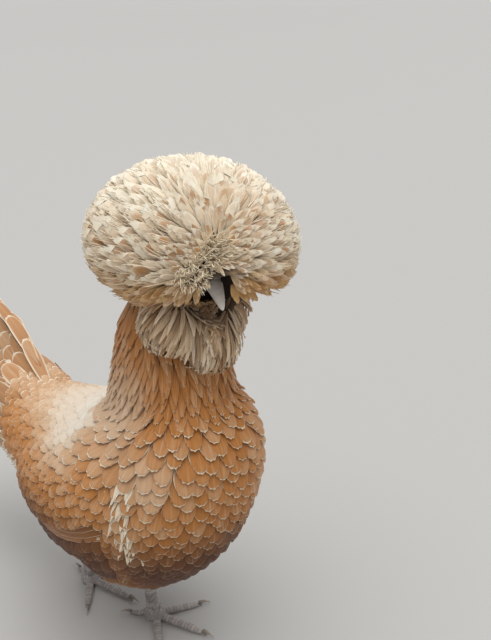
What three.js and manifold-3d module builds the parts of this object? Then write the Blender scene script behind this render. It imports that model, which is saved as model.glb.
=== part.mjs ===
import * as THREE from 'three';
import { mergeVertices } from 'three/addons/utils/BufferGeometryUtils.js';
import Module from 'manifold-3d';

// A bearded, crested hen of a large breed, standing with one foot forward.
// Millimetres, +Z up. She faces -Y, so her right side is at -X and her left side at +X.
// Her outline is the outline of the plumage. The drawing's own origin is on the ground below her
// body. The finished group is moved so that the origin lies below the middle of her whole outline.

const GAP = 0.3; // clear space between neighbouring pieces

// Side profile of the trunk, front to rear: place along Y, back line, belly line, half width,
// and the height of the widest part as a share of the way from belly to back.
const TRUNK = [
  { y: -140, top: 207, bottom: 203, half: 4, wide: 0.5 },
  { y: -138, top: 220, bottom: 182, half: 23, wide: 0.5 },
  { y: -130, top: 240, bottom: 146, half: 42, wide: 0.5 },
  { y: -112, top: 256, bottom: 108, half: 58, wide: 0.5 },
  { y: -82, top: 252, bottom: 80, half: 68, wide: 0.5 },
  { y: -48, top: 236, bottom: 60, half: 70, wide: 0.54 },
  { y: -12, top: 214, bottom: 58, half: 67, wide: 0.58 },
  { y: 24, top: 202, bottom: 70, half: 61, wide: 0.58 },
  { y: 58, top: 193, bottom: 86, half: 53, wide: 0.57 },
  { y: 88, top: 187, bottom: 98, half: 46, wide: 0.57 },
  { y: 112, top: 182, bottom: 104, half: 40, wide: 0.56 },
  { y: 134, top: 172, bottom: 115, half: 31, wide: 0.55 },
  { y: 146, top: 158, bottom: 127, half: 17, wide: 0.5 },
  { y: 149, top: 144, bottom: 138, half: 4, wide: 0.5 },
];
const TRUNK_STEPS = 15;
const TRUNK_SIDES = 20;
const TRUNK_SQUARENESS = { back: 0.94, belly: 1.06 }; // below 1 fills the corners of a section out

// The neck with its hackle, from inside the shoulders to inside the crest.
const NECK = [
  { x: 0, y: -74, z: 198, side: 46, fore: 56 },
  { x: 0, y: -79, z: 224, side: 44, fore: 52 },
  { x: 0.5, y: -81, z: 248, side: 41, fore: 47 },
  { x: 1, y: -83, z: 274, side: 39, fore: 43 },
  { x: 2, y: -87, z: 300, side: 36, fore: 39 },
  { x: 3, y: -92, z: 322, side: 33, fore: 34 },
  { x: 4, y: -96, z: 340, side: 26, fore: 28 },
];
const NECK_STEPS = 7;
const NECK_SIDES = 16;

// The hackle ends on the shoulders in a slanting plane, which parts neck and trunk.
const SHOULDER_CUT = { y: -79, z: 222, slope: 0.12 };

// The head is turned a little to her right and the beak points down.
const HEAD_YAW = 16;
const BEAK_PITCH = 33;
const BEAK_TIP = { x: -8, y: -147, z: 320 };
const BEAK = {
  upper: { length: 23, halfWidth: 6.6, height: 7.2 },
  lower: { length: 18, halfWidth: 5.7, height: 4 },
  rooted: 6, // how far it reaches back into the skull
  hook: 3.4, // how far the tip bends down
  narrowing: 0.35,
};
const BEAK_STEPS = 7;
const BEAK_ARC = 8;
const SKULL = { length: 46, halfWidth: 16, halfHeight: 17, ahead: 2, above: 3 };
const EYE = { radius: 4.6, behindBeak: 12, above: 4, sunk: 3.2 };

// The crest is a globe, widest low down, that leans forward and to her left over the face.
const CREST = { x: 6, y: -101, z: 349, side: 70, fore: 69, top: 56, bottom: 42 };
const CREST_LEAN = { forward: 5, left: 4 };
const CREST_ROWS = 11;
const CREST_SIDES = 22;
const FACE_OPENING = { side: 17, fore: 38, height: 21, toRight: 4, ahead: 6, above: 3 };

// The beard hangs below the beak, and a muff stands out on each cheek.
const BEARD = { x: -4, y: -124, z: 300, side: 25, fore: 22, height: 29, tilt: -16 };
const MUFF = { out: 20, back: 10, z: 309, side: 20, fore: 22, height: 25, tilt: 18 };

// A folded wing runs along the trunk from start to end. Its middle line rises a little behind the
// shoulder and droops below the widest part of the trunk at the rear. Angles are degrees round
// the trunk.
const WING = {
  start: -80,
  end: 62,
  middle: { front: 14, rise: 14, droop: -52 },
  halfSpan: 43,
  edge: 1.8, // how far the rim stands out of the trunk
  proud: 6.5, // how much further the middle stands out
  sunk: 8, // depth of the underside inside the trunk
  girth: 40, // distance from the trunk's middle line, for turning a gap into an angle
};
const WING_STEPS = 10;
const WING_OUTER = 6; // faces across the outside
const WING_INNER = 3; // faces across the inside

const TAIL = {
  feathers: 7, // on each side
  root: { y: 95, z: 186 },
  length: 142,
  ridge: -1.5, // the two sides of the tent cross this far beyond the middle line
  halfWidth: 21, // at the roots
  stack: 48, // how far the lowest root lies below the highest one
  lift: { top: 34, low: -6 }, // degrees above level
  spread: { top: 0, low: 15 }, // degrees away from the middle line
  step: 1.1, // each feather lies over the next one down
  thick: { root: 2.6, tip: 1.1 },
  shorter: 0.14, // the lowest feather is shorter than the highest by this share
  rounding: 0.09, // the edges of a feather end before its middle by this share
};
const TAIL_ROWS = 4;
const CUSHION = {
  z: 157,
  half: 25,
  height: 31,
  length: 86,
  lift: 32,
  ahead: 4, // how far it starts in front of the roots of the tail
  taper: { side: 0.4, height: 0.15 },
};
const CUSHION_STEPS = 6;

const LEG = {
  left: { x: 17.3, y: -20.4, turnOut: 18, hockBack: 22, hockOut: 4 },
  right: { x: 5, y: 60, turnOut: -12, hockBack: -36, hockOut: 20 },
};
const HOCK_HEIGHT = 84;
const HIP = { out: 35, z: 138, follow: 0.12, ahead: 8 }; // it follows a share of the foot's step
const THIGH = {
  low: 10, // girth of the feathers at the hock
  high: 38, // girth at the belly
  below: 26, // how far the feathers hang below the hock
  into: 9, // how deep it enters the trunk
  across: 0.9,
  fore: 1.15,
};
const THIGH_STEPS = 6;
const SHANK = { radius: 5.2, across: 0.86, fore: 1.1, joint: 0.3, ahead: 2 };
const SHANK_STEPS = 4;
const SHANK_SIDES = 8;
const PAD = { bottom: 7.4, belly: 8.8, shoulder: 8.1, top: 6, bellyZ: 2.5, shoulderZ: 7.7, height: 11 };
const ROUND_SIDES = 12; // points round a foot pad, a thigh or the feathers over the tail's roots
const TOES = [
  { name: 'inner', angle: -50, length: 40, root: 3.9 },
  { name: 'middle', angle: 0, length: 51, root: 4.3 },
  { name: 'outer', angle: 50, length: 42, root: 3.8 },
  { name: 'hind', angle: 198, length: 24, root: 3.2 },
];
const MIDDLE_TOE = TOES[1];
const TOE = { from: 3, taper: 0.32, knuckle: 0.08, flat: 0.7, height: 0.84, hindLift: 5 };
const TOE_STEPS = 6;
const TOE_SIDES = 7;
const CLAW = { length: 11, root: 2.5, tip: 0.45, clear: 0.7, arch: 1.1, overlap: 3, narrow: 0.8 };
const CLAW_STEPS = 4;
const CLAW_SIDES = 6;

const FINISH = {
  trunk: { color: 0xb5824f, roughness: 0.9 },
  neck: { color: 0xb27b48, roughness: 0.9 },
  crest: { color: 0xe6d5b8, roughness: 0.95 },
  beard: { color: 0x9c8769, roughness: 0.95 },
  head: { color: 0x54483d, roughness: 0.85 },
  wing: { color: 0xa8723f, roughness: 0.88 },
  tail: { color: 0xc08f5c, roughness: 0.85 },
  thigh: { color: 0xa87c52, roughness: 0.92 },
  leg: { color: 0x77716f, roughness: 0.6 },
  claw: { color: 0xb3a99b, roughness: 0.45 },
  beak: { color: 0xb9aca2, roughness: 0.4 },
  eye: { color: 0x2a1a10, roughness: 0.15 },
};

const wasm = await Module();
wasm.setup();

const degrees = (value) => (value * Math.PI) / 180;
const powKeepSign = (value, power) => Math.sign(value) * Math.abs(value) ** power;

// A smooth curve through named stations. Every number of a station is interpolated.
function between(stations, t) {
  const place = Math.min(Math.max(t, 0), 1) * (stations.length - 1);
  const i = Math.min(Math.floor(place), stations.length - 2);
  const f = place - i;
  const at = (k) => stations[Math.min(Math.max(k, 0), stations.length - 1)];
  const result = {};
  for (const key of Object.keys(stations[0])) {
    const [a, b, c, d] = [at(i - 1)[key], at(i)[key], at(i + 1)[key], at(i + 2)[key]];
    const bend = 2 * b + (c - a) * f + (2 * a - 5 * b + 4 * c - d) * f * f;
    result[key] = 0.5 * (bend + (3 * b - a - 3 * c + d) * f * f * f);
  }
  return result;
}

// Rings of points, all with the same count, become one closed solid.
function solidFromRings(rings) {
  const sides = rings[0].length;
  const points = rings.flat();
  const faces = [];
  for (let r = 0; r + 1 < rings.length; r += 1) {
    for (let s = 0; s < sides; s += 1) {
      const a = r * sides + s;
      const b = r * sides + ((s + 1) % sides);
      faces.push(a, b, b + sides, a, b + sides, a + sides);
    }
  }
  for (const [ring, forward] of [[0, false], [rings.length - 1, true]]) {
    const middle = new THREE.Vector3();
    rings[ring].forEach((point) => middle.addScaledVector(point, 1 / sides));
    const hub = points.push(middle) - 1;
    for (let s = 0; s < sides; s += 1) {
      const a = ring * sides + s;
      const b = ring * sides + ((s + 1) % sides);
      faces.push(...(forward ? [a, b, hub] : [b, a, hub]));
    }
  }
  return solidFromMesh(points.flatMap((point) => [point.x, point.y, point.z]), faces);
}

function signedVolume(positions, faces) {
  const corner = (i) => new THREE.Vector3().fromArray(positions, 3 * faces[i]);
  let volume = 0;
  for (let i = 0; i < faces.length; i += 3) {
    volume += corner(i).dot(corner(i + 1).cross(corner(i + 2))) / 6;
  }
  return volume;
}

function solidFromMesh(positions, faces) {
  const geometry = new THREE.BufferGeometry();
  geometry.setAttribute('position', new THREE.Float32BufferAttribute(positions, 3));
  geometry.setIndex(faces);
  const merged = mergeVertices(geometry, 1e-4);
  const vertProperties = new Float32Array(merged.attributes.position.array);
  const triVerts = new Uint32Array(merged.index.array);
  if (signedVolume(vertProperties, triVerts) < 0) {
    for (let i = 0; i < triVerts.length; i += 3) {
      [triVerts[i + 1], triVerts[i + 2]] = [triVerts[i + 2], triVerts[i + 1]];
    }
  }
  const mesh = new wasm.Mesh({ numProp: 3, vertProperties, triVerts });
  mesh.merge();
  return new wasm.Manifold(mesh);
}

// The largest connected body of a solid, so that a cut leaves no loose crumbs.
function mainBody(solid) {
  const bodies = solid.decompose();
  return bodies.reduce((best, body) => (body.volume() > best.volume() ? body : best));
}

function joined(solids) {
  return solids.reduce((all, solid) => all.add(solid));
}

function cutBy(solid, tools) {
  return mainBody(tools.reduce((rest, tool) => rest.subtract(tool), solid));
}

const node = new THREE.Group();

function addPiece(name, solid, finish) {
  const cut = solid.getMesh();
  const geometry = new THREE.BufferGeometry();
  geometry.setAttribute('position', new THREE.BufferAttribute(new Float32Array(cut.vertProperties), 3));
  geometry.setIndex(new THREE.BufferAttribute(new Uint32Array(cut.triVerts), 1));
  const faceted = geometry.toNonIndexed();
  faceted.computeVertexNormals();
  const material = new THREE.MeshStandardMaterial({ metalness: 0, ...finish });
  const mesh = new THREE.Mesh(faceted, material);
  mesh.name = name;
  node.add(mesh);
}

// Trunk

function trunkAt(y) {
  const last = TRUNK.length - 1;
  let i = 0;
  while (i < last - 1 && TRUNK[i + 1].y < y) i += 1;
  const f = (y - TRUNK[i].y) / (TRUNK[i + 1].y - TRUNK[i].y);
  return between(TRUNK, (i + f) / last);
}

// A point of the trunk's surface. The angle runs from her left side (0) over the back (90).
function trunkPoint(y, angle, out = 0) {
  const { top, bottom, half, wide } = trunkAt(y);
  const middle = bottom + wide * (top - bottom);
  const reach = Math.sin(angle) > 0 ? top - middle : middle - bottom;
  const squareness = Math.sin(angle) > 0 ? TRUNK_SQUARENESS.back : TRUNK_SQUARENESS.belly;
  const x = half * powKeepSign(Math.cos(angle), squareness) + out * Math.cos(angle);
  const z = middle + reach * powKeepSign(Math.sin(angle), squareness) + out * Math.sin(angle);
  return new THREE.Vector3(x, y, z);
}

function trunkSolid(grow = 0) {
  const [first, last] = [TRUNK[0].y, TRUNK[TRUNK.length - 1].y];
  const rings = [];
  for (let i = 0; i <= TRUNK_STEPS; i += 1) {
    const y = first + (last - first) * (0.5 - 0.5 * Math.cos((Math.PI * i) / TRUNK_STEPS));
    const ring = [];
    for (let s = 0; s < TRUNK_SIDES; s += 1) {
      ring.push(trunkPoint(y, (2 * Math.PI * s) / TRUNK_SIDES, grow));
    }
    rings.push(ring);
  }
  return solidFromRings(rings);
}

// Neck

function neckSolid() {
  const rings = [];
  for (let i = 0; i <= NECK_STEPS; i += 1) {
    const { x, y, z, side, fore } = between(NECK, i / NECK_STEPS);
    const ahead = between(NECK, (i + 0.5) / NECK_STEPS);
    const behind = between(NECK, (i - 0.5) / NECK_STEPS);
    const tilt = Math.atan2(behind.y - ahead.y, ahead.z - behind.z);
    const ring = [];
    for (let s = 0; s < NECK_SIDES; s += 1) {
      const angle = (2 * Math.PI * s) / NECK_SIDES;
      const forward = -fore * Math.sin(angle);
      const across = side * Math.cos(angle);
      const point = [x + across, y + forward * Math.cos(tilt), z + forward * Math.sin(tilt)];
      ring.push(new THREE.Vector3(...point));
    }
    rings.push(ring);
  }
  return solidFromRings(rings);
}

// A rounded lump given by half sizes, that the head, eyes, crest, beard and muffs start from
function ovalSolid({ centre, half, turn, rows, sides, lower = half.z }) {
  const rings = [];
  for (let r = 1; r < rows; r += 1) {
    const fall = (Math.PI * r) / rows;
    const ring = [];
    for (let s = 0; s < sides; s += 1) {
      const angle = (2 * Math.PI * s) / sides;
      const round = Math.sin(fall);
      const height = (Math.cos(fall) > 0 ? half.z : lower) * Math.cos(fall);
      const point = [half.x * round * Math.cos(angle), half.y * round * Math.sin(angle), height];
      ring.push(new THREE.Vector3(...point).applyEuler(turn).add(centre));
    }
    rings.push(ring);
  }
  return solidFromRings(rings);
}

// Head frame: x to her left, y forward along the beak line and z up from it

const headTurn = new THREE.Euler(degrees(-BEAK_PITCH), 0, Math.PI - degrees(HEAD_YAW), 'ZYX');
const beakTip = new THREE.Vector3(BEAK_TIP.x, BEAK_TIP.y, BEAK_TIP.z);

function fromHead(x, y, z) {
  const inHead = new THREE.Vector3(-x, y - BEAK.upper.length, z);
  return inHead.applyEuler(headTurn).add(beakTip);
}

// Upper or lower half of the beak: a hooked cone whose flat side is the line of the mouth
function beakSolid(upper, grow = 0) {
  const { length, halfWidth, height } = upper ? BEAK.upper : BEAK.lower;
  const rings = [];
  for (let i = 0; i <= BEAK_STEPS; i += 1) {
    const along = -BEAK.rooted + ((length + BEAK.rooted) * i) / BEAK_STEPS;
    const t = Math.max(along, 0) / length;
    const taper = 0.03 + 0.97 * Math.sqrt(Math.max(1 - t ** 1.7, 0));
    const half = halfWidth * taper * (1 - BEAK.narrowing * t) + grow;
    const rise = height * taper + 2 * grow;
    const mouth = GAP / 2 - grow;
    const droop = BEAK.hook * (Math.max(along, 0) / BEAK.upper.length) ** 3;
    const ring = [];
    for (let s = 0; s < BEAK_ARC; s += 1) {
      const angle = (Math.PI * s) / (BEAK_ARC - 1);
      const up = (mouth + rise * Math.sin(angle)) * (upper ? 1 : -1);
      ring.push(fromHead(half * Math.cos(angle), i === 0 ? along - grow : along, up - droop));
    }
    rings.push(ring);
  }
  return solidFromRings(rings);
}

function eyeSolid(side, grow = 0) {
  const centre = fromHead(side * (SKULL.halfWidth - EYE.sunk), -EYE.behindBeak, EYE.above);
  const radius = EYE.radius + grow;
  const half = new THREE.Vector3(radius, radius, radius);
  return ovalSolid({ centre, half, turn: headTurn, rows: 6, sides: 8 });
}

function headSolid(grow = 0) {
  const { length, halfWidth, halfHeight, ahead, above } = SKULL;
  const half = new THREE.Vector3(halfWidth + grow, length / 2 + grow, halfHeight + grow);
  const centre = fromHead(0, ahead - length / 2, above);
  return ovalSolid({ centre, half, turn: headTurn, rows: 7, sides: 12 });
}

// Crest

const crestLean = [degrees(CREST_LEAN.forward), degrees(CREST_LEAN.left)];
const crestTurn = new THREE.Euler(...crestLean, degrees(-HEAD_YAW));
const crestCentre = new THREE.Vector3(CREST.x, CREST.y, CREST.z);

function crestSolid(grow = 0) {
  const half = new THREE.Vector3(CREST.side + grow, CREST.fore + grow, CREST.top + grow);
  const lower = CREST.bottom + grow;
  const shape = { centre: crestCentre, half, turn: crestTurn, lower };
  return ovalSolid({ ...shape, rows: CREST_ROWS, sides: CREST_SIDES });
}

function faceOpening() {
  const { side, fore, height, toRight, ahead, above } = FACE_OPENING;
  const centre = fromHead(-toRight, ahead, above);
  const half = new THREE.Vector3(side, fore, height);
  return ovalSolid({ centre, half, turn: headTurn, rows: 8, sides: 10 });
}

// Beard and muffs

function beardSolid(grow = 0) {
  const centre = new THREE.Vector3(BEARD.x, BEARD.y, BEARD.z);
  const half = new THREE.Vector3(BEARD.side + grow, BEARD.fore + grow, BEARD.height + grow);
  const turn = new THREE.Euler(degrees(BEARD.tilt), 0, 0);
  return ovalSolid({ centre, half, turn, rows: 9, sides: 14 });
}

function muffSolid(side, grow = 0) {
  const centre = new THREE.Vector3(BEARD.x + side * MUFF.out, BEARD.y + MUFF.back, MUFF.z);
  const half = new THREE.Vector3(MUFF.side + grow, MUFF.fore + grow, MUFF.height + grow);
  const turn = new THREE.Euler(0, degrees(-side * MUFF.tilt), 0);
  return ovalSolid({ centre, half, turn, rows: 8, sides: 12 });
}

// A folded wing lies on the trunk's side like a shield.
function wingSolid(side, grow = 0) {
  const { start, end, middle, halfSpan, edge, proud, sunk, girth } = WING;
  const rings = [];
  for (let i = 0; i <= WING_STEPS; i += 1) {
    const t = i / WING_STEPS;
    const y = start - grow + (end - start + 2 * grow) * t;
    const swell = Math.sin(Math.PI * (0.04 + 0.93 * t ** 0.85)) ** 0.6;
    const angle = degrees(middle.front + middle.rise * t + middle.droop * t * t);
    const span = degrees(halfSpan) * swell + grow / girth;
    const ring = [];
    for (let s = 0; s <= WING_OUTER; s += 1) {
      const f = s / WING_OUTER;
      const out = edge + proud * swell * Math.sin(Math.PI * f);
      ring.push(trunkPoint(y, angle - span + 2 * span * f, out + grow));
    }
    for (let s = WING_INNER; s >= 0; s -= 1) {
      const f = (s + 0.3) / (WING_INNER + 0.6); // kept inside the rim
      ring.push(trunkPoint(y, angle - span + 2 * span * f, -sunk * swell - grow));
    }
    ring.forEach((point) => point.setX(point.x * side));
    rings.push(ring);
  }
  return solidFromRings(rings);
}

// A curved sheet of one thickness, from a grid of points on its middle surface
function shellSolid(grid, thickness) {
  const [rows, columns] = [grid.length, grid[0].length];
  const within = (i, count) => Math.min(Math.max(i, 0), count - 1);
  const at = (r, c) => grid[within(r, rows)][within(c, columns)];
  const positions = [];
  for (const face of [0.5, -0.5]) {
    for (let r = 0; r < rows; r += 1) {
      for (let c = 0; c < columns; c += 1) {
        const down = at(r + 1, c).clone().sub(at(r - 1, c));
        const along = at(r, c + 1).clone().sub(at(r, c - 1));
        const out = down.cross(along).setLength(face * thickness(r / (rows - 1)));
        positions.push(...out.add(at(r, c)).toArray());
      }
    }
  }
  const faces = [];
  const under = rows * columns;
  for (let r = 0; r + 1 < rows; r += 1) {
    for (let c = 0; c + 1 < columns; c += 1) {
      const a = r * columns + c;
      const b = a + columns;
      faces.push(a, b, b + 1, a, b + 1, a + 1);
      faces.push(under + a, under + b + 1, under + b, under + a, under + a + 1, under + b + 1);
    }
  }
  const border = [];
  for (let c = 0; c < columns; c += 1) border.push(c);
  for (let r = 1; r < rows; r += 1) border.push(r * columns + columns - 1);
  for (let c = columns - 2; c >= 0; c -= 1) border.push((rows - 1) * columns + c);
  for (let r = rows - 2; r > 0; r -= 1) border.push(r * columns);
  border.forEach((a, i) => {
    const b = border[(i + 1) % border.length];
    faces.push(a, b, under + b, a, under + b, under + a);
  });
  return solidFromMesh(positions, faces);
}

// Tail: feathers that lap each other down both sides of a tent, and the coverts over their roots

function tailSide(side) {
  const across = [0.04, 0.5, 0.96]; // points over the width of one feather
  const grid = [];
  for (let r = 0; r < TAIL_ROWS; r += 1) {
    const line = [];
    for (let feather = 0; feather < TAIL.feathers; feather += 1) {
      for (const w of across) {
        const t = (feather + w) / TAIL.feathers;
        const graded = ({ top, low }) => degrees(top + (low - top) * t);
        const [lift, spread] = [graded(TAIL.lift), graded(TAIL.spread)];
        const round = 1 - TAIL.rounding * Math.abs(2 * w - 1) ** 2.2;
        const reach = (TAIL.length * (1 - TAIL.shorter * t) * round * r) / (TAIL_ROWS - 1);
        const out = TAIL.ridge + TAIL.halfWidth * Math.sin((t * Math.PI) / 2) + TAIL.step * w;
        const x = side * (out + reach * Math.sin(spread));
        const y = TAIL.root.y + reach * Math.cos(spread) * Math.cos(lift);
        line.push(new THREE.Vector3(x, y, TAIL.root.z - TAIL.stack * t + reach * Math.sin(lift)));
      }
    }
    grid.push(line);
  }
  return shellSolid(grid, (f) => TAIL.thick.root + (TAIL.thick.tip - TAIL.thick.root) * f);
}

function tailCushion() {
  const { z, half, height, length, ahead, taper } = CUSHION;
  const rings = [];
  const lift = degrees(CUSHION.lift);
  for (let i = 0; i <= CUSHION_STEPS; i += 1) {
    const t = i / CUSHION_STEPS;
    const round = 0.02 + 0.98 * Math.sqrt(Math.max(1 - t ** 2.4, 0));
    const along = t * length - ahead;
    const ring = [];
    for (let s = 0; s < ROUND_SIDES; s += 1) {
      const angle = (2 * Math.PI * s) / ROUND_SIDES;
      const out = half * round * Math.cos(angle) * (1 - taper.side * t);
      const up = height * round * Math.sin(angle) * (1 - taper.height * t);
      const y = TAIL.root.y + along * Math.cos(lift) - up * Math.sin(lift);
      ring.push(new THREE.Vector3(out, y, z + along * Math.sin(lift) + up * Math.cos(lift)));
    }
    rings.push(ring);
  }
  return solidFromRings(rings);
}

function tailSolid() {
  return joined([tailCushion(), tailSide(1), tailSide(-1)]);
}

// Legs

function hockOf(leg, side) {
  return new THREE.Vector3(leg.x + side * leg.hockOut, leg.y + leg.hockBack, HOCK_HEIGHT);
}

function shankSolid(leg, side, grow = 0) {
  const foot = new THREE.Vector3(leg.x, leg.y + SHANK.ahead, PAD.height / 2);
  const hock = hockOf(leg, side);
  const rings = [];
  for (let i = 0; i <= SHANK_STEPS; i += 1) {
    const t = i / SHANK_STEPS;
    const radius = SHANK.radius * (1 + SHANK.joint * (2 * t - 1) ** 4) + grow;
    const ring = [];
    for (let s = 0; s < SHANK_SIDES; s += 1) {
      const angle = (2 * Math.PI * s) / SHANK_SIDES;
      const across = SHANK.across * radius * Math.cos(angle);
      const point = new THREE.Vector3(across, SHANK.fore * radius * Math.sin(angle), 0);
      ring.push(foot.clone().lerp(hock, t).add(point));
    }
    rings.push(ring);
  }
  return solidFromRings(rings);
}

function thighSolid(leg, side, grow = 0) {
  const hock = hockOf(leg, side);
  const hip = new THREE.Vector3(side * HIP.out, leg.y * HIP.follow - HIP.ahead, HIP.z);
  const rings = [];
  for (let i = 0; i <= THIGH_STEPS; i += 1) {
    const t = i / THIGH_STEPS;
    const girth = THIGH.low + (THIGH.high - THIGH.low) * Math.sin(Math.PI * (0.02 + 0.6 * t));
    const middle = hock.clone().lerp(hip, t);
    middle.z -= THIGH.below * (1 - t);
    const ring = [];
    for (let s = 0; s < ROUND_SIDES; s += 1) {
      const angle = (2 * Math.PI * s) / ROUND_SIDES;
      const across = (girth * THIGH.across + grow) * Math.cos(angle);
      const point = new THREE.Vector3(across, (girth * THIGH.fore + grow) * Math.sin(angle), 0);
      ring.push(middle.clone().add(point));
    }
    rings.push(ring);
  }
  return solidFromRings(rings);
}

function padSolid(leg, grow = 0) {
  const levels = [
    [0, PAD.bottom],
    [PAD.bellyZ, PAD.belly],
    [PAD.shoulderZ, PAD.shoulder],
    [PAD.height, PAD.top],
  ];
  const rings = levels.map(([z, radius]) => {
    const ring = [];
    for (let s = 0; s < ROUND_SIDES; s += 1) {
      const angle = (2 * Math.PI * s) / ROUND_SIDES;
      const reach = radius + grow;
      ring.push(new THREE.Vector3(leg.x + reach * Math.cos(angle), leg.y + reach * Math.sin(angle), z));
    }
    return ring;
  });
  return solidFromRings(rings);
}

// Heading of a toe on the ground, as a unit vector
function toeHeading(leg, side, toe) {
  const angle = degrees(side * (leg.turnOut + toe.angle));
  return new THREE.Vector3(Math.sin(angle), -Math.cos(angle), 0);
}

// A toe with a flat sole and three or so knuckles
function toeSolid(leg, side, toe, grow = 0) {
  const heading = toeHeading(leg, side, toe);
  const across = new THREE.Vector3(-heading.y, heading.x, 0);
  const rings = [];
  for (let i = 0; i <= TOE_STEPS; i += 1) {
    const t = i / TOE_STEPS;
    const knuckle = 1 + TOE.knuckle * Math.cos(2 * Math.PI * 3 * t);
    const end = Math.sqrt(Math.max(1 - t ** 9, 0)) * 0.7 + 0.3;
    const radius = toe.root * (1 - TOE.taper * t) * knuckle * end + grow;
    const lift = toe.name === 'hind' ? TOE.hindLift * (1 - Math.min(1, t * 1.9)) : 0;
    const ring = [];
    for (let s = 0; s < TOE_SIDES; s += 1) {
      const angle = (2 * Math.PI * s) / TOE_SIDES;
      const level = Math.max(TOE.height * Math.sin(angle), -TOE.flat) + TOE.flat;
      const point = new THREE.Vector3(leg.x, leg.y, lift + radius * level);
      point.addScaledVector(heading, TOE.from + (toe.length - TOE.from) * t);
      ring.push(point.addScaledVector(across, radius * Math.cos(angle)));
    }
    rings.push(ring);
  }
  return solidFromRings(rings);
}

function clawSolid(leg, side, toe, grow = 0) {
  const heading = toeHeading(leg, side, toe);
  const across = new THREE.Vector3(-heading.y, heading.x, 0);
  const root = CLAW.root * (toe.root / MIDDLE_TOE.root);
  const rings = [];
  for (let i = 0; i <= CLAW_STEPS; i += 1) {
    const t = i / CLAW_STEPS;
    const radius = root + (CLAW.tip - root) * t ** 0.8 + grow;
    const droop = CLAW.arch * Math.sin(Math.PI * t) - (root - CLAW.tip) * t ** 2;
    const ring = [];
    for (let s = 0; s < CLAW_SIDES; s += 1) {
      const angle = (2 * Math.PI * s) / CLAW_SIDES;
      const z = root + CLAW.clear + droop + radius * Math.sin(angle);
      const point = new THREE.Vector3(leg.x, leg.y, z);
      point.addScaledVector(heading, toe.length - CLAW.overlap + CLAW.length * t);
      ring.push(point.addScaledVector(across, radius * CLAW.narrow * Math.cos(angle)));
    }
    rings.push(ring);
  }
  return solidFromRings(rings);
}

// Assembly: a piece that keeps its whole shape comes first, and its neighbours are cut back to
// leave the gap.

const sides = [['left', 1], ['right', -1]];

// Beak and eyes with their gap
function faceParts() {
  return [beakSolid(true, GAP), beakSolid(false, GAP), eyeSolid(1, GAP), eyeSolid(-1, GAP)];
}

function buildHead() {
  addPiece('beak_upper', beakSolid(true), FINISH.beak);
  addPiece('beak_lower', beakSolid(false), FINISH.beak);
  for (const [name, side] of sides) addPiece(`eye_${name}`, eyeSolid(side), FINISH.eye);
  addPiece('head', cutBy(headSolid(), faceParts()), FINISH.head);
}

function buildFaceFeathers() {
  const face = [joined([headSolid(GAP), ...faceParts()]), faceOpening()];
  addPiece('beard', cutBy(beardSolid(), face), FINISH.beard);
  for (const [name, side] of sides) {
    const inside = [...face, beardSolid(GAP), muffSolid(-side, GAP)];
    addPiece(`muff_${name}`, cutBy(muffSolid(side), inside), FINISH.beard);
  }
  const below = [beardSolid(GAP), muffSolid(1, GAP), muffSolid(-1, GAP)];
  addPiece('crest', cutBy(crestSolid(), [...face, ...below]), FINISH.crest);
}

function buildBody() {
  const muffs = [muffSolid(1, GAP), muffSolid(-1, GAP)];
  const above = [headSolid(GAP), beardSolid(GAP), ...muffs, crestSolid(GAP)];
  const pockets = [];
  for (const [name, side] of sides) {
    addPiece(`wing_${name}`, wingSolid(side), FINISH.wing);
    const inside = [trunkSolid(-THIGH.into), wingSolid(side, GAP)];
    addPiece(`thigh_${name}`, cutBy(thighSolid(LEG[name], side), inside), FINISH.thigh);
    pockets.push(wingSolid(side, GAP), thighSolid(LEG[name], side, GAP));
  }
  const body = cutBy(joined([trunkSolid(), neckSolid()]), [...above, ...pockets]);
  const upward = new THREE.Vector3(0, -SHOULDER_CUT.slope, 1).normalize();
  const level = upward.dot(new THREE.Vector3(0, SHOULDER_CUT.y, SHOULDER_CUT.z));
  const downward = upward.clone().negate();
  addPiece('neck', mainBody(body.trimByPlane(upward.toArray(), level + GAP / 2)), FINISH.neck);
  addPiece('trunk', mainBody(body.trimByPlane(downward.toArray(), GAP / 2 - level)), FINISH.trunk);
  addPiece('tail', cutBy(tailSolid(), [trunkSolid(GAP)]), FINISH.tail);
}

function buildLegs() {
  for (const [name, side] of sides) {
    const leg = LEG[name];
    addPiece(`foot_pad_${name}`, padSolid(leg), FINISH.leg);
    const upper = [padSolid(leg, GAP), thighSolid(leg, side, GAP), trunkSolid(GAP)];
    addPiece(`shank_${name}`, cutBy(shankSolid(leg, side), upper), FINISH.leg);
    for (const toe of TOES) {
      addPiece(`claw_${toe.name}_${name}`, clawSolid(leg, side, toe), FINISH.claw);
      const tools = [padSolid(leg, GAP), shankSolid(leg, side, GAP), clawSolid(leg, side, toe, GAP)];
      if (toe !== MIDDLE_TOE) tools.push(toeSolid(leg, side, MIDDLE_TOE, GAP));
      const whole = toeSolid(leg, side, toe);
      addPiece(`toe_${toe.name}_${name}`, cutBy(whole, tools), FINISH.leg);
    }
  }
}

buildHead();
buildFaceFeathers();
buildBody();
buildLegs();

const outline = new THREE.Box3().setFromObject(node);
node.position.set(-(outline.min.x + outline.max.x) / 2, -(outline.min.y + outline.max.y) / 2, 0);

export default node;
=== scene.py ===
import math
import bpy
import bmesh
import numpy as np
from mathutils import Euler, Matrix, Vector
from mathutils.bvhtree import BVHTree


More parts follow.
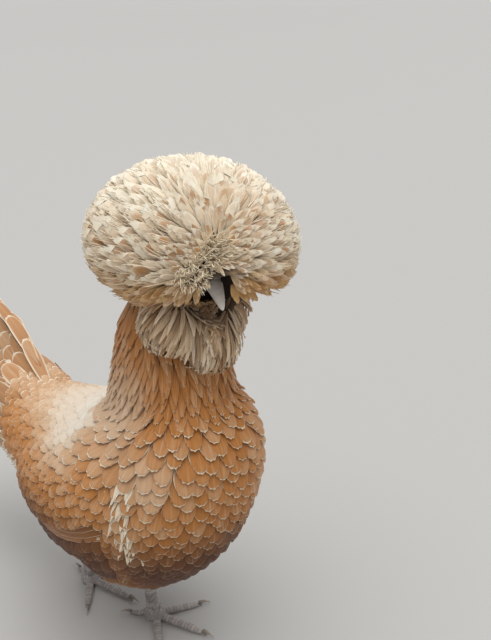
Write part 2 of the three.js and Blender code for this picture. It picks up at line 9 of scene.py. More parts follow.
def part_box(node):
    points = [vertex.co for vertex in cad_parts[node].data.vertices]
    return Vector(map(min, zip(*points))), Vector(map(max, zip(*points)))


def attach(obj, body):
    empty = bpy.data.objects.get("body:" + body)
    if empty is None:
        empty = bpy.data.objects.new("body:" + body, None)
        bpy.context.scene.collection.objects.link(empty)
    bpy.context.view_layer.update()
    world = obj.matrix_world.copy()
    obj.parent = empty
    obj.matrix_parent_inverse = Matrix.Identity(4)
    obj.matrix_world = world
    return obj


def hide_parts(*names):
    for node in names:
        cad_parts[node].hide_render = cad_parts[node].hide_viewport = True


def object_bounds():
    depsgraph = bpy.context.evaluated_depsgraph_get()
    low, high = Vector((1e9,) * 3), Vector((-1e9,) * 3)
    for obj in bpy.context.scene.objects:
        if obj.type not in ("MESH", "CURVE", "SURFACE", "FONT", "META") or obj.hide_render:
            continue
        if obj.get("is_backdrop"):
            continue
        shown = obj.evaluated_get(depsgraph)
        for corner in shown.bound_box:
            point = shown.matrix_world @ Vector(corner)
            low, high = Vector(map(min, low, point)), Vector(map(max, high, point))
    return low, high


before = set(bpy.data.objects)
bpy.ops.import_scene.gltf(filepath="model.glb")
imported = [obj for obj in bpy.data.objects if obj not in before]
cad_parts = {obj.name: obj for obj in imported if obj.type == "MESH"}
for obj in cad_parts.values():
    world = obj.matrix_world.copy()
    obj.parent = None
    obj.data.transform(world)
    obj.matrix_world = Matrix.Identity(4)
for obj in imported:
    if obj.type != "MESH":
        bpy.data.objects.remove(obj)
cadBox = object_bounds()
scene = bpy.context.scene
mm = 0.001

# The drawing's own origin is on the ground below the body, and the left foot pad shows where it went.
leftFoot = (17.3, -20.4)
padLow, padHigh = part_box("foot_pad_left")
drawingOrigin = np.array([(padLow[k] + padHigh[k]) / 2 - leftFoot[k] * mm for k in (0, 1)] + [0.0])


def place(x, y, z):  # a point of the drawing, given in millimetres
    return drawingOrigin + np.array([x, y, z]) * mm


def toDrawing(points):  # points of the scene, as millimetres of the drawing
    return (np.asarray(points) - drawingOrigin) / mm


def toScene(drawing):
    return drawingOrigin + drawing * mm


def unit(vectors):
    size = np.linalg.norm(vectors, axis=-1, keepdims=True)
    return vectors / np.maximum(size, 1e-12)


def ramp(values, start, end):  # a smooth step from 0 at start to 1 at end
    t = np.clip((values - start) / (end - start), 0.0, 1.0)
    return t * t * (3 - 2 * t)


def bell(values, middle, width):
    return np.exp(-(((values - middle) / width) ** 2))


def turned(x, y, z, order="XYZ"):  # a rotation, given in degrees
    return Euler([math.radians(angle) for angle in (x, y, z)], order)


def inScene(name, data):
    thing = bpy.data.objects.new(name, data)
    scene.collection.objects.link(thing)
    return thing


class Value:  # a shader value as a Python expression
    def __init__(self, tree, socket):
        self.tree, self.socket = tree, socket

    def node(self, kind, settings=None, links=None, output=0):
        made = self.tree.nodes.new(kind)
        for name, setting in (settings or {}).items():
            setattr(made, name, setting)
        for name, value in (links or {}).items():
            if isinstance(value, Value):
                self.tree.links.new(value.socket, made.inputs[name])
            else:
                made.inputs[name].default_value = value
        return Value(self.tree, made.outputs[output])

    def attribute(self, name):
        return self.node("ShaderNodeAttribute", {"attribute_name": name}, output="Fac")

    def maths(self, operation, *values):
        return self.node("ShaderNodeMath", {"operation": operation}, dict(enumerate(values)))

    def size(self):
        return self.maths("ABSOLUTE", self)

    def above(self, lowest):
        return self.maths("MAXIMUM", self, lowest)

    def mix(self, first, second):  # self is the share of the second colour
        return self.node("ShaderNodeMix", {"data_type": "RGBA"}, {0: self, 6: first, 7: second}, output=2)

    def step(self, start, end):  # smooth step from 0 at start to 1 at end
        settings = {"interpolation_type": "SMOOTHSTEP"}
        return self.node("ShaderNodeMapRange", settings, {"Value": self, "From Min": start, "From Max": end})

    def __add__(self, other):
        return self.maths("ADD", self, other)

    def __sub__(self, other):
        return self.maths("SUBTRACT", self, other)

    def __rsub__(self, other):
        return self.maths("SUBTRACT", other, self)

    def __mul__(self, other):
        return self.maths("MULTIPLY", self, other)

    __radd__ = __add__
    __rmul__ = __mul__


def newMaterial(name, roughness=0.7, sheen=0.0, specular=0.3):
    material = bpy.data.materials.new(name)
    material.use_nodes = True
    shader = material.node_tree.nodes["Principled BSDF"]
    values = {
        "Roughness": roughness, "Sheen Weight": sheen, "Sheen Roughness": 0.5, "Specular IOR Level": specular,
    }
    for socket, value in values.items():
        shader.inputs[socket].default_value = value
    return material, Value(material.node_tree, None), shader


def paint(shader, base, height=None, strength=0.3, distance=0.3 * mm):  # a colour, and a fine relief
    base.tree.links.new(base.socket, shader.inputs["Base Color"])
    if height:
        bump = base.node("ShaderNodeBump", {}, {"Strength": strength, "Distance": distance, "Height": height})
        base.tree.links.new(bump.socket, shader.inputs["Normal"])


def grainOf(nodes, scale, detail, space=None):  # noise, unless told otherwise in the object's own space
    space = space or nodes.node("ShaderNodeTexCoord", output="Object")
    return nodes.node("ShaderNodeTexNoise", {}, {"Vector": space, "Scale": scale, "Detail": detail})


def colour(red, green, blue):  # from screen values, 0 to 255
    linear = [((c / 255 + 0.055) / 1.055) ** 2.4 if c > 10 else c / 255 / 12.92 for c in (red, green, blue)]
    return (*linear, 1.0)


# Camera, floor and light

cameraPlan = {
    "position": (-353.5, -543.6, 508.2),
    "forward": (0.6328, 0.6906, -0.3502),
    "up": (0.2456, 0.2499, 0.9366),
    "lens": 50.8,
    "sensor": 36.0,
}
cameraData = bpy.data.cameras.new("camera")
cameraData.lens, cameraData.sensor_width = cameraPlan["lens"], cameraPlan["sensor"]
scene.camera = inScene("camera", cameraData)
backward = -Vector(cameraPlan["forward"]).normalized()
sideways = Vector(cameraPlan["up"]).cross(backward).normalized()
axes = Matrix((sideways, backward.cross(sideways), backward)).transposed()
scene.camera.matrix_world = axes.to_4x4()
scene.camera.location = Vector(place(*cameraPlan["position"]))

floorPlan = {"reach": 60.0, "colour": (188, 186, 182), "uneven": 3, "roughness": 0.85, "grain": 9.0}
floorMesh = bpy.data.meshes.new("floor")
corners = [(x * floorPlan["reach"], y * floorPlan["reach"], 0) for x, y in ((-1, -1), (1, -1), (1, 1), (-1, 1))]
floorMesh.from_pydata(corners, [], [(0, 1, 2, 3)])
floorMaterial, nodes, shader = newMaterial("palePlaster", floorPlan["roughness"])
grain = nodes.node("ShaderNodeTexNoise", {}, {"Scale": floorPlan["grain"], "Detail": 4.0})
low, high = [colour(*(c + sign * floorPlan["uneven"] for c in floorPlan["colour"])) for sign in (-1, 1)]
paint(shader, grain.mix(low, high))
floorMesh.materials.append(floorMaterial)
inScene("floor", floorMesh)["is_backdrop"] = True

lightPlan = {
    "sky": {"place": (-350, -350, 1800), "strength": 2.3, "spread": 60},
    "side": {"place": (900, 300, 1500), "strength": 0.6, "spread": 90},
    "air": {"colour": (236, 240, 246), "strength": 0.36},
}
for name in ("sky", "side"):
    plan = lightPlan[name]
    lampData = bpy.data.lights.new(name, "SUN")
    lampData.energy, lampData.angle = plan["strength"], math.radians(plan["spread"])
    lamp = inScene(name, lampData)
    lamp.location = Vector(place(*plan["place"]))
    aim = Vector(place(0, 0, 0)) - lamp.location
    lamp.rotation_euler = aim.to_track_quat("-Z", "Y").to_euler()
scene.world = bpy.data.worlds.new("studio")
scene.world.use_nodes = True
background = scene.world.node_tree.nodes["Background"]
background.inputs["Color"].default_value = colour(*lightPlan["air"]["colour"])
background.inputs["Strength"].default_value = lightPlan["air"]["strength"]
scene.view_settings.view_transform = "Standard"
print("camera, floor and light are set")


# Closed surfaces to lay feathers on

def neighbourMean(values, edges, count):
    total = np.zeros_like(values)
    for column in range(values.shape[1]):
        total[:, column] = np.bincount(edges[:, 0], values[edges[:, 1], column], count)
        total[:, column] += np.bincount(edges[:, 1], values[edges[:, 0], column], count)
    degree = np.bincount(edges.ravel(), minlength=count)
    return total / np.maximum(degree, 1)[:, None]


class Surface:  # with smooth normals, and with values at its points that can be read anywhere on it
    def __init__(self, points, faces, polish=0):
        self.points, self.faces = np.array(points, float), faces
        halves = [t for f in faces for t in ((f[0], f[1], f[2]), (f[0], f[2], f[3]))[: len(f) - 2]]
        self.triangles = np.array(halves)
        pairs = np.concatenate([self.triangles[:, [k, (k + 1) % 3]] for k in range(3)])
        self.edges = np.unique(np.sort(pairs, axis=1), axis=0)
        count = len(self.points)
        for _ in range(polish):  # smoothing that keeps the volume
            for share in (0.5, -0.52):
                self.points += share * (neighbourMean(self.points, self.edges, count) - self.points)
        a, b, c = (self.points[self.triangles[:, k]] for k in range(3))
        self.faceNormals = np.cross(b - a, c - a)
        normals = np.zeros_like(self.points)
        for k in range(3):
            for column in range(3):
                normals[:, column] += np.bincount(self.triangles[:, k], self.faceNormals[:, column], count)
        self.normals = unit(normals)
        self.tree = BVHTree.FromPolygons(self.points.tolist(), self.triangles.tolist())
        self.fields = {"normal": self.normals}

    def smoothed(self, values, rounds):
        for _ in range(rounds):
            values = 0.5 * values + 0.5 * neighbourMean(values, self.edges, len(self.points))
        return values

    def setFlow(self, wanted, rounds=6):  # which way the coat lies, and how far along it a point is
        flow = wanted - (wanted * self.normals).sum(1, keepdims=True) * self.normals
        flow = self.smoothed(unit(flow), rounds)
        flow = unit(flow - (flow * self.normals).sum(1, keepdims=True) * self.normals)
        first, second = self.edges.T
        count = len(self.points)
        rise = 0.5 * ((flow[first] + flow[second]) * (self.points[second] - self.points[first])).sum(1)
        degree = np.bincount(self.edges.ravel(), minlength=count)
        progress = (self.points * unit(wanted.mean(0))).sum(1)
        for _ in range(400):
            total = np.bincount(first, progress[second] - rise, count)
            total = total + np.bincount(second, progress[first] + rise, count)
            progress = total / degree
        self.fields["flow"] = flow
        self.fields["progress"] = progress[:, None]

    def weights(self, points, triangles):
        a, b, c = (self.points[self.triangles[triangles, k]] for k in range(3))
        ab, ac, ap = b - a, c - a, points - a
        d00, d01, d11 = (ab * ab).sum(1), (ab * ac).sum(1), (ac * ac).sum(1)
        d20, d21 = (ap * ab).sum(1), (ap * ac).sum(1)
        size = np.maximum(d00 * d11 - d01 * d01, 1e-20)
        v, w = (d11 * d20 - d01 * d21) / size, (d00 * d21 - d01 * d20) / size
        return np.clip(np.stack([1 - v - w, v, w], 1), 0, 1)

    def read(self, places, triangles, *names):
        shares = self.weights(places, triangles)
        corners = self.triangles[triangles]
        result = []
        for name in names:
            value = (self.fields[name][corners] * shares[:, :, None]).sum(1)
            result.append(value[:, 0] if value.shape[1] == 1 else unit(value))
        return result

    def look(self, points, *names):  # nearest places on the surface and the named values there
        found = [self.tree.find_nearest(p) for p in np.asarray(points).tolist()]
        places = np.array([f[0][:] for f in found])
        return (places, *self.read(places, np.array([f[2] for f in found]), *names))

    def scatter(self, count, random):  # evenly random points
        areas = np.linalg.norm(self.faceNormals, axis=1)
        triangles = random.choice(len(areas), count, p=areas / areas.sum())
        u, v = random.random((2, count))
        flip = u + v > 1
        u[flip], v[flip] = 1 - u[flip], 1 - v[flip]
        a, b, c = (self.points[self.triangles[triangles, k]] for k in range(3))
        return a + u[:, None] * (b - a) + v[:, None] * (c - a), triangles


def solidOf(names, extra=(), grow=0.4 * mm):  # vertices and faces of CAD nodes, grown so that they join
    points, faces = [], []
    for name in names:
        work = bmesh.new()
        work.from_mesh(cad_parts[name].data)
        bmesh.ops.remove_doubles(work, verts=work.verts, dist=1e-6)
        work.normal_update()
        work.verts.index_update()
        faces += [[len(points) + v.index for v in f.verts] for f in work.faces]
        points += [(v.co + v.normal * grow)[:] for v in work.verts]
        work.free()
    for morePoints, moreFaces in extra:
        faces += [[len(points) + i for i in f] for f in moreFaces]
        points += [tuple(p) for p in morePoints]
    return points, faces


def remeshed(points, faces, voxel):  # one closed surface round overlapping solids
    mesh = bpy.data.meshes.new("form")
    mesh.from_pydata(points, [], faces)
    thing = inScene("form", mesh)
    change = thing.modifiers.new("join", "REMESH")
    change.mode, change.voxel_size = "VOXEL", voxel * mm
    final = thing.evaluated_get(bpy.context.evaluated_depsgraph_get()).to_mesh()
    newPoints = np.array([v.co[:] for v in final.vertices])
    newFaces = [tuple(f.vertices) for f in final.polygons]
    bpy.data.objects.remove(thing)
    bpy.data.meshes.remove(mesh)
    group = np.arange(len(newPoints))  # keep only the largest body
    ends = np.array([(f[k], f[(k + 1) % len(f)]) for f in newFaces for k in range(len(f))])
    while True:
        lowest = group.copy()
        np.minimum.at(lowest, ends[:, 0], group[ends[:, 1]])
        lowest = lowest[lowest]
        if (lowest == group).all():
            break
        group = lowest
    kept = group == np.bincount(group).argmax()
    index = np.cumsum(kept) - 1
    return newPoints[kept], [tuple(index[list(f)]) for f in newFaces if kept[f[0]]]


def ringFaces(count, size, closed=False):  # faces between rings of points in a row, or in a circle
    rows = [(r, (r + 1) % count) for r in range(count if closed else count - 1)]
    turns = [(s, (s + 1) % size) for s in range(size)]
    return [(a * size + s, a * size + t, b * size + t, b * size + s) for a, b in rows for s, t in turns]


def roundSolid(centre, half, turn, lower=None):  # an oval solid, its lower half as high as lower
    rows, sides = 24, 36
    points = []
    for fall in np.arange(rows + 1) * math.pi / rows:
        for angle in 2 * math.pi * np.arange(sides) / sides:
            height = half[2] if math.cos(fall) > 0 or lower is None else lower
            raw = Vector((
                half[0] * math.sin(fall) * math.cos(angle),
                half[1] * math.sin(fall) * math.sin(angle),
                height * math.cos(fall),
            ))
            raw.rotate(turn)
            points.append(place(*(raw + Vector(centre))))
    return points, [(f[0], f[3], f[2], f[1]) for f in ringFaces(rows + 1, sides)]


# Feathers: seeds in staggered rows, centre lines that walk over a surface, and closed vanes on them

def evenly(drawing):  # the same size and slimness everywhere
    return np.ones(len(drawing)), np.ones(len(drawing))


def seedFeathers(surface, plan, random, spacing, keep):
    places, triangles = surface.scatter(plan["candidates"], random)
    normals, flows, progress = surface.read(places, triangles, "normal", "flow", "progress")
    kept = keep(toDrawing(places), normals)
    places, normals, flows, progress = places[kept], normals[kept], flows[kept], progress[kept]
    scale, slimness = spacing(toDrawing(places))
    sides = np.cross(normals, flows)
    across, along = plan["across"] * mm * scale * slimness, plan["along"] * mm * scale
    cell = 1.35 * max(across.max(), along.max())
    cells = [tuple(c) for c in np.floor(places / cell).astype(int).tolist()]
    rows = np.column_stack([places, sides, flows, across, along, 1.5 * (across * across + along * along)]).tolist()
    near = [(i, j, k) for i in (-1, 0, 1) for j in (-1, 0, 1) for k in (-1, 0, 1)]
    grid, chosen = {}, []

    def isFree(i):
        x, y, z, sx, sy, sz, fx, fy, fz, a, b, far = rows[i]
        cx, cy, cz = cells[i]
        for di, dj, dk in near:
            for qx, qy, qz in grid.get((cx + di, cy + dj, cz + dk), ()):
                dx, dy, dz = x - qx, y - qy, z - qz
                u = (dx * sx + dy * sy + dz * sz) / a
                v = (dx * fx + dy * fy + dz * fz) / b
                if u * u + v * v < 1.0 and dx * dx + dy * dy + dz * dz < far:
                    return False
        return True

    for i in np.argsort(progress).tolist():
        if isFree(i):
            grid.setdefault(cells[i], []).append(rows[i][:3])
            chosen.append(i)
    found = {"places": places, "normals": normals, "flows": flows, "scale": scale, "slimness": slimness}
    return {key: values[chosen] for key, values in found.items()}


def walkOver(surface, seeds, lengths, shares, turnBy):  # centre lines of the feathers, along the lie
    points, headings, normals = seeds["places"], seeds["flows"], seeds["normals"]
    sides = np.cross(normals, headings)
    headings = unit(headings * np.cos(turnBy)[:, None] + sides * np.sin(turnBy)[:, None])
    line, facing = [points], [normals]
    follow = 0.09  # how much a line turns back to the lie at each stride
    for stride in np.diff(shares):
        ahead = points + headings * (lengths * stride)[:, None]
        points, normals, flows = surface.look(ahead, "normal", "flow")
        headings = unit((1 - follow) * headings + follow * flows)
        headings = unit(headings - (headings * normals).sum(1, keepdims=True) * normals)
        line.append(points)
        facing.append(normals)
    return np.stack(line, 1), np.stack(facing, 1)


# Seeds and centre lines of one field. Three of the random rows vary the length, the turn and the width.
def growField(surface, plan, random, keep, spacing=evenly, extra=lambda drawing: (1.0, 0.0)):
    seeds = seedFeathers(surface, plan, random, spacing, keep)
    order = plan.get("order", (0, 1, 2, 3, 4))
    jitter = random.uniform(-1, 1, (len(order), len(seeds["scale"])))[list(order)]
    longer, looser = extra(toDrawing(seeds["places"]))
    lengthBy, turnBy, widthBy = plan["uneven"]
    lengths = plan["length"] * seeds["scale"] * (1 + lengthBy * jitter[0]) * longer
    widths = plan["width"] * seeds["scale"] * seeds["slimness"] * (1 + widthBy * jitter[2])
    lines, facing = walkOver(surface, seeds, lengths * mm, plan["shares"], (turnBy + looser) * jitter[1])
    return seeds, jitter, lines, facing, {**plan, "width": widths, "length": lengths}


# The settings, in millimetres or shares, that a vane has if its shape doesn't say otherwise
plainVane = {
    "rimShare": 0.2, "widest": 0.62, "sink": 1.2, "depth": 0.0, "lift": 0.0, "offset": 0.0, "lean": 0.0, "bevel": 0.0,
}
vanePlan = {"bend": 72, "least": 0.4, "mostRaised": 1.2, "plainRoot": 0.1, "patch": 0.003, "sharp": 70}


# One vane is a grid of rows along the shaft and columns across it, closed below by a strip.
def vanes(name, surface, lines, facing, shape, cling):
    shape = {**plainVane, **shape}
    count, rows, columns = lines.shape[0], lines.shape[1] - 1, shape["columns"]

    def each(key):  # one number for every feather
        return np.broadcast_to(shape[key], count)[:, None, None]

    s, inner = np.array(shape["shares"])[:, None], 1 - shape["rimShare"]
    v = np.concatenate([[-1], np.linspace(-inner, inner, columns - 1) if columns > 2 else [0], [1]])
    keys = ("width", "lift", "depth", "camber", "offset", "lean", "bevel", "lace")
    width, lift, depth, camber, offset, lean, bevel, lace = [each(key) * mm for key in keys]
    length = np.linalg.norm(np.diff(lines, axis=1), axis=2).sum(1)[:, None, None]
    length = each("length") * mm if "length" in shape else length
    widest = shape["widest"]
    rise = np.minimum(s / widest, 1)
    fall = np.clip((s - widest) / (1 - widest), 0, 1)
    profile = shape["rootWidth"] + (1 - shape["rootWidth"]) * np.sin(rise * math.pi / 2)
    profile = profile * (1 - (1 - each("endWidth")) * fall**1.7)
    bend = math.radians(vanePlan["bend"])
    arc = np.sin(v * bend) / math.sin(bend)
    back = (1 - np.cos(v * bend)) / (1 - math.cos(bend))
    tangents = np.empty_like(lines)
    tangents[:, 1:-1] = lines[:, 2:] - lines[:, :-2]
    tangents[:, 0], tangents[:, -1] = lines[:, 1] - lines[:, 0], lines[:, -1] - lines[:, -2]
    tangents = unit(tangents)
    sides = unit(np.cross(facing, tangents))
    aside = 0.5 * width * profile * arc
    drop = width * each("curve") * s**1.5 * back
    points = lines[:, :, None] + sides[:, :, None] * aside[..., None] - tangents[:, :, None] * drop[..., None]
    normals = np.repeat(facing[:, :, None], columns + 1, 2)
    if cling:
        onto, away = surface.look(points.reshape(-1, 3), "normal")
        points, normals = onto.reshape(points.shape), away.reshape(points.shape)
    reach = np.clip(s - drop / length, 0, 1)  # how far down the shaft a point really lies
    domed, onRim = 1 - v**2, (np.abs(v) > 0.99) | (s > 0.99)
    height = lift * reach**2 - depth * (1 - reach) ** shape["sink"] + camber * (0.3 + 0.7 * reach) * domed
    height = height + offset - bevel * onRim + lean * v  # by the lean, one long edge stands out
    points = points + normals * height[..., None]
    share = (v[:, None] + 1) / 2  # over a hollow the vane spans from edge to edge, its face above its back
    chord = points[:, :, :1] * (1 - share) + points[:, :, -1:] * share
    least, most = vanePlan["least"] * camber * domed, vanePlan["mostRaised"] * mm
    above = ((points - chord) * normals).sum(-1)
    points = points + normals * np.clip(least - above, 0, most)[..., None]
    tip, middle = points[:, -1], columns // 2  # and its rounded end stays above the flat face under it
    level = unit(np.cross(tip[:, -1] - tip[:, 0], tip[:, middle] - tip[:, 0]))
    level = level * np.sign((level * normals[:, -1, middle]).sum(1))[:, None]
    above = ((points - points[:, -1:, :1]) * level[:, None, None]).sum(-1)
    inTip = (reach > reach[:, -1:, :1]) & ~onRim
    points = points + normals * (np.clip(least - above, 0, most) * inTip)[..., None]
    if "ragged" in shape:  # barbs of uneven length at the tip
        random = np.random.default_rng(shape["ragSeed"])
        tips = (count, columns + 1)
        isLong = (np.arange(columns + 1) + random.integers(0, 2, (count, 1))) % 2 == 0
        longer = each("ragged")[:, 0] * mm * random.uniform(0.1, 1.0, tips)
        shorter = random.uniform(0.2, 0.8, tips) * length[:, 0] * (s[-1] - s[-2])
        points[:, -1] += tangents[:, -1, None] * np.where(isLong, longer, -shorter)[..., None]
    fromSide = 0.5 * width * profile * (1 - np.abs(v))
    rim = 1 - np.clip(np.minimum(fromSide, length * (1 - s)) / lace, 0, 1)
    rim = rim * np.clip(s / vanePlan["plainRoot"], 0, 1)
    values = {"rim": rim, "along": s, "across": v}
    for key, mark in shape["marks"].items():
        values[key] = np.broadcast_to(mark, count)[:, None, None]
    roots, patch = atlas(lines[:, 0])[:, None, None], vanePlan["patch"]
    uv = np.empty((*rim.shape, 2))
    uv[..., 0] = roots[..., 0] + 0.5 * patch * v
    uv[..., 1] = roots[..., 1] + patch * (s - 0.5)
    grid = np.arange((rows + 1) * (columns + 1)).reshape(rows + 1, -1).tolist()
    faces = [(a[c], a[c + 1], b[c + 1], b[c]) for a, b in zip(grid, grid[1:]) for c in range(columns)]
    faces += [(b[0], b[-1], a[-1], a[0]) for a, b in zip(grid, grid[1:])]
    faces += [grid[0][::-1], grid[-1]]
    values = {key: np.broadcast_to(value, rim.shape) for key, value in values.items()}
    return joinMany(name, points.reshape(count, -1, 3), faces, values, uv.reshape(count, -1, 2))


def setValues(mesh, values):  # named numbers at the points of a mesh
    for key, value in values.items():
        mesh.attributes.new(key, "FLOAT", "POINT").data.foreach_set("value", np.ravel(value).astype(np.float32))


def joinMany(name, points, faces, values, uv):  # many like pieces with one list of faces, as one mesh
    count, size = points.shape[:2]
    corners = np.array([i for f in faces for i in f])
    allCorners = (corners[None, :] + size * np.arange(count)[:, None]).ravel()
    allTotals = np.tile([len(f) for f in faces], count)
    mesh = bpy.data.meshes.new(name)
    mesh.vertices.add(count * size)
    mesh.vertices.foreach_set("co", points.reshape(-1).astype(np.float32))
    mesh.loops.add(len(allCorners))
    mesh.loops.foreach_set("vertex_index", allCorners.astype(np.int32))
    mesh.polygons.add(len(allTotals))
    mesh.polygons.foreach_set("loop_start", (np.cumsum(allTotals) - allTotals).astype(np.int32))
    mesh.update(calc_edges=True)
    setValues(mesh, values)
    layer = mesh.uv_layers.new(name="OFBake")
    layer.data.foreach_set("uv", uv.reshape(-1, 2)[allCorners].ravel().astype(np.float32))
    mesh.set_sharp_from_angle(angle=math.radians(vanePlan["sharp"]))
    print(name, count, "feathers,", int((allTotals - 2).sum()), "triangles")
    return inScene(name, mesh)


def meshThing(name, points, faces, values=None, sharp=60):
    mesh = bpy.data.meshes.new(name)
    mesh.from_pydata(np.asarray(points).tolist(), [], [list(map(int, f)) for f in faces])
    setValues(mesh, values or {})
    mesh.shade_smooth()
    if sharp:
        mesh.set_sharp_from_angle(angle=math.radians(sharp))
    return inScene(name, mesh)


def addPiece(thing, material, slot, *nodes):
    thing.data.materials.append(material)
    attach(thing, "root")
    if nodes:
        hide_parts(*nodes)


def part(shape, chosen):  # the settings of some of the feathers
    if isinstance(shape, dict):
        return {key: part(value, chosen) for key, value in shape.items()}
    return shape[chosen] if isinstance(shape, np.ndarray) else shape


def addVanes(name, material, slot, surface, lines, facing, shape, chosen=slice(None), cling=True, nodes=()):
    lines, facing = np.array(lines)[chosen], np.array(facing)[chosen]
    addPiece(vanes(name, surface, lines, facing, part(shape, chosen), cling), material, slot, *nodes)


# Colours, markings and painted light and shade, the same for skin and coat

plumage = {
    "gold": colour(190, 124, 60),
    "brown": colour(88, 48, 22),
    "cream": colour(236, 219, 190),
    "lace": colour(240, 222, 192),
    "dimLace": colour(146, 110, 76),
    "white": colour(246, 241, 230),
}


def markingsAndPaintedLight(drawing, normals):  # shares of cream and of dark brown, from the place on the body: the brown share is painted shade low on the front, the belly and the lower wing, and the cream share holds a painted highlight where the back faces up
    x, y, z = drawing.T
    side = np.abs(x)
    # painted highlight: the back is paler where it faces up to the light
    back = ramp(z, 172, 204) * ramp(y, -78, -40) * ramp(normals[:, 2], 0.2, 0.75)
    nape = ramp(z, 205, 240) * ramp(y, -112, -84) * (1 - ramp(z, 262, 300)) * 0.55
    strip = bell(y, -99, 8) * ramp(z, 132, 150) * (1 - ramp(z, 196, 214)) * ramp(side, 40, 54) * 0.12
    patch = bell(np.linalg.norm(np.stack([side - 46, y + 112, z - 213], 1), axis=1), 0, 17) * 0.55
    rump = ramp(y, 96, 128) * (1 - ramp(z, 140, 165)) * 0.7
    pale = np.clip(back * 0.78 + nape + strip + patch + rump, 0, 1)
    # painted shade: the brown share grows low on the front and the belly, and on the lower part of the folded wing
    front = 1 - ramp(y, -104, -62)
    low = (1 - ramp(z, 126, 190)) * front + 0.34 * (1 - ramp(z, 96, 150)) * (1 - front)
    wing = ramp(y, -88, -70) * (1 - ramp(y, 20, 70)) * ramp(side, 44, 56) * (1 - ramp(z, 136, 180)) * 0.75
    deep = np.clip(low + wing - pale * 0.4, 0, 1)
    return pale, deep


def vaneSpace(along, across, chance):  # for a grain that runs along each vane
    return along.node("ShaderNodeCombineXYZ", {}, {"X": across, "Y": along, "Z": chance * 60.0})


def toned(base, tone, shadow, shine):  # darker where the tone is below nought, lighter where it is above
    base = (-1 * tone).above(0.0).mix(base, shadow)
    return tone.above(0.0).mix(base, shine)


def lacedMaterial(name, plan):
    material, nodes, shader = newMaterial(name, plan["roughness"], plan["sheen"], 0.25)
    names = ("along", "across", "rim", "chance", "pale", "deep", "plain")
    along, across, rim, chance, pale, deep, plain = [nodes.attribute(key) for key in names]
    streaks = grainOf(nodes, 1.6, 3.0, vaneSpace(along * 1.3, across * 4.0, chance))
    # painted shade: the deep share darkens the centre low on the body and wing; the pale share holds the painted
    # highlight of the back
    centre = deep.mix(plumage["gold"], plumage["brown"])
    centre = (pale * plan["wash"]).mix(centre, plumage["cream"])
    # the tone varies at random and with the streaks, and is darker toward the root as painted shade where the feather
    # above lies over it
    tone = (chance - 0.5) * plan["variety"] + (streaks - 0.5) * (plan["streaks"] + plain * 0.7) + (along - 0.7) * 0.25
    shaft = (1 - across.size().step(0.0, 0.12)) * plan["shaft"]
    centre = toned(centre, tone - deep * 0.22 + shaft, plan["shadow"], plumage["cream"])
    centre = (pale.step(0.5, 1.0) * 0.6).mix(centre, plumage["white"])
    # painted shade: the lace is dimmer where the deep share is high
    edge = deep.mix(plumage["lace"], plumage["dimLace"])
    edge = (pale * 0.8).mix(edge, plumage["white"])
    atEdge = across.size().step(0.35, 0.65).above(along.step(0.6, 0.85))
    laced = (rim + (streaks - 0.5) * 0.35).step(plan["laceFrom"], plan["laceTo"])
    mask = laced * atEdge * plan["laceShare"] * (1 - 0.72 * plain)  # the backs stay plain
    slant = along * plan["barbs"] - across.size() * plan["barbs"] * 0.28
    barbs = slant.maths("SINE", slant * 6.2832)
    paint(shader, mask.mix(centre, edge), barbs * 0.3 + streaks, 0.25)
    return material


# The head's own axes, and the hollow around the beak that the feathers leave free

headPlan = {"turn": (-33, 0, 180 - 16), "beakRoot": 23, "middle": (-8, -147, 320)}
openPlan = {"middle": (-6, 6, 12), "half": (19, 38, 27), "leftShorter": 3.2}
headTurn = turned(*headPlan["turn"]).to_matrix()


def fromHead(x, y, z):  # a point of the scene from left, forward and up of the beak's root, in millimetres
    return place(*(headTurn @ Vector((-x, y - headPlan["beakRoot"], z)) + Vector(headPlan["middle"])))


headAxes = np.array([headTurn @ Vector(axis) for axis in ((-1, 0, 0), (0, 1, 0), (0, 0, 1))])
openMiddle = fromHead(*openPlan["middle"])


def inOpening(points):  # below 1 inside the hollow of the face, between crest and beard
    inHead = (points - openMiddle) @ headAxes.T / mm
    inHead[..., 0] *= np.where(inHead[..., 0] > 0, openPlan["leftShorter"], 1.0)
    return np.linalg.norm(inHead / openPlan["half"], axis=-1)


# Skin: the flesh of the bird, inside the outline of the plumage by the depth of the coat

skinPlan = {
    "voxel": 4.0, "polish": 6, "body": 8.0, "crest": 15.0, "beard": 9.0, "face": 1.0,
    "faceMiddle": (-6, -128, 330), "faceReach": (14, 30),
    "crestMiddle": (6, -101, 349), "crestHalf": (70, 69, 50),
}
cushionPlan = {"middle": (0, 116, 165), "half": (34, 58, 30), "tilt": 14}  # fills the hollow under the tail
fleshNodes = ["trunk", "neck", "head", "beard", "muff_left", "muff_right", "crest"]
fleshNodes += [f"{part}_{side}" for part in ("wing", "thigh") for side in ("left", "right")]
cushion = roundSolid(cushionPlan["middle"], cushionPlan["half"], turned(cushionPlan["tilt"], 0, 0))
skinPoints, skinFaces = remeshed(*solidOf(fleshNodes, [cushion]), skinPlan["voxel"])
outer = Surface(skinPoints, skinFaces, 3)
where = toDrawing(outer.points)
nearFace = 1 - ramp(np.linalg.norm(where - skinPlan["faceMiddle"], axis=1), *skinPlan["faceReach"])
fromCrest = np.linalg.norm((where - skinPlan["crestMiddle"]) / skinPlan["crestHalf"], axis=1)
onCrest = ramp(fromCrest, 0.2, 0.5) * ramp(where[:, 2], 303, 316)
onBeard = ramp(-where[:, 1], 108, 122) * ramp(where[:, 2], 268, 282) * (1 - onCrest)
bare = skinPlan["body"]
depth = bare + (skinPlan["crest"] - bare) * onCrest + (skinPlan["beard"] - bare) * onBeard
depth = depth * (1 - nearFace) + skinPlan["face"] * nearFace
depth = outer.smoothed(depth[:, None], 4)
skinSurface = Surface(outer.points - outer.normals * depth * mm, skinFaces, skinPlan["polish"])
pale, deep = markingsAndPaintedLight(toDrawing(skinSurface.points), skinSurface.normals)
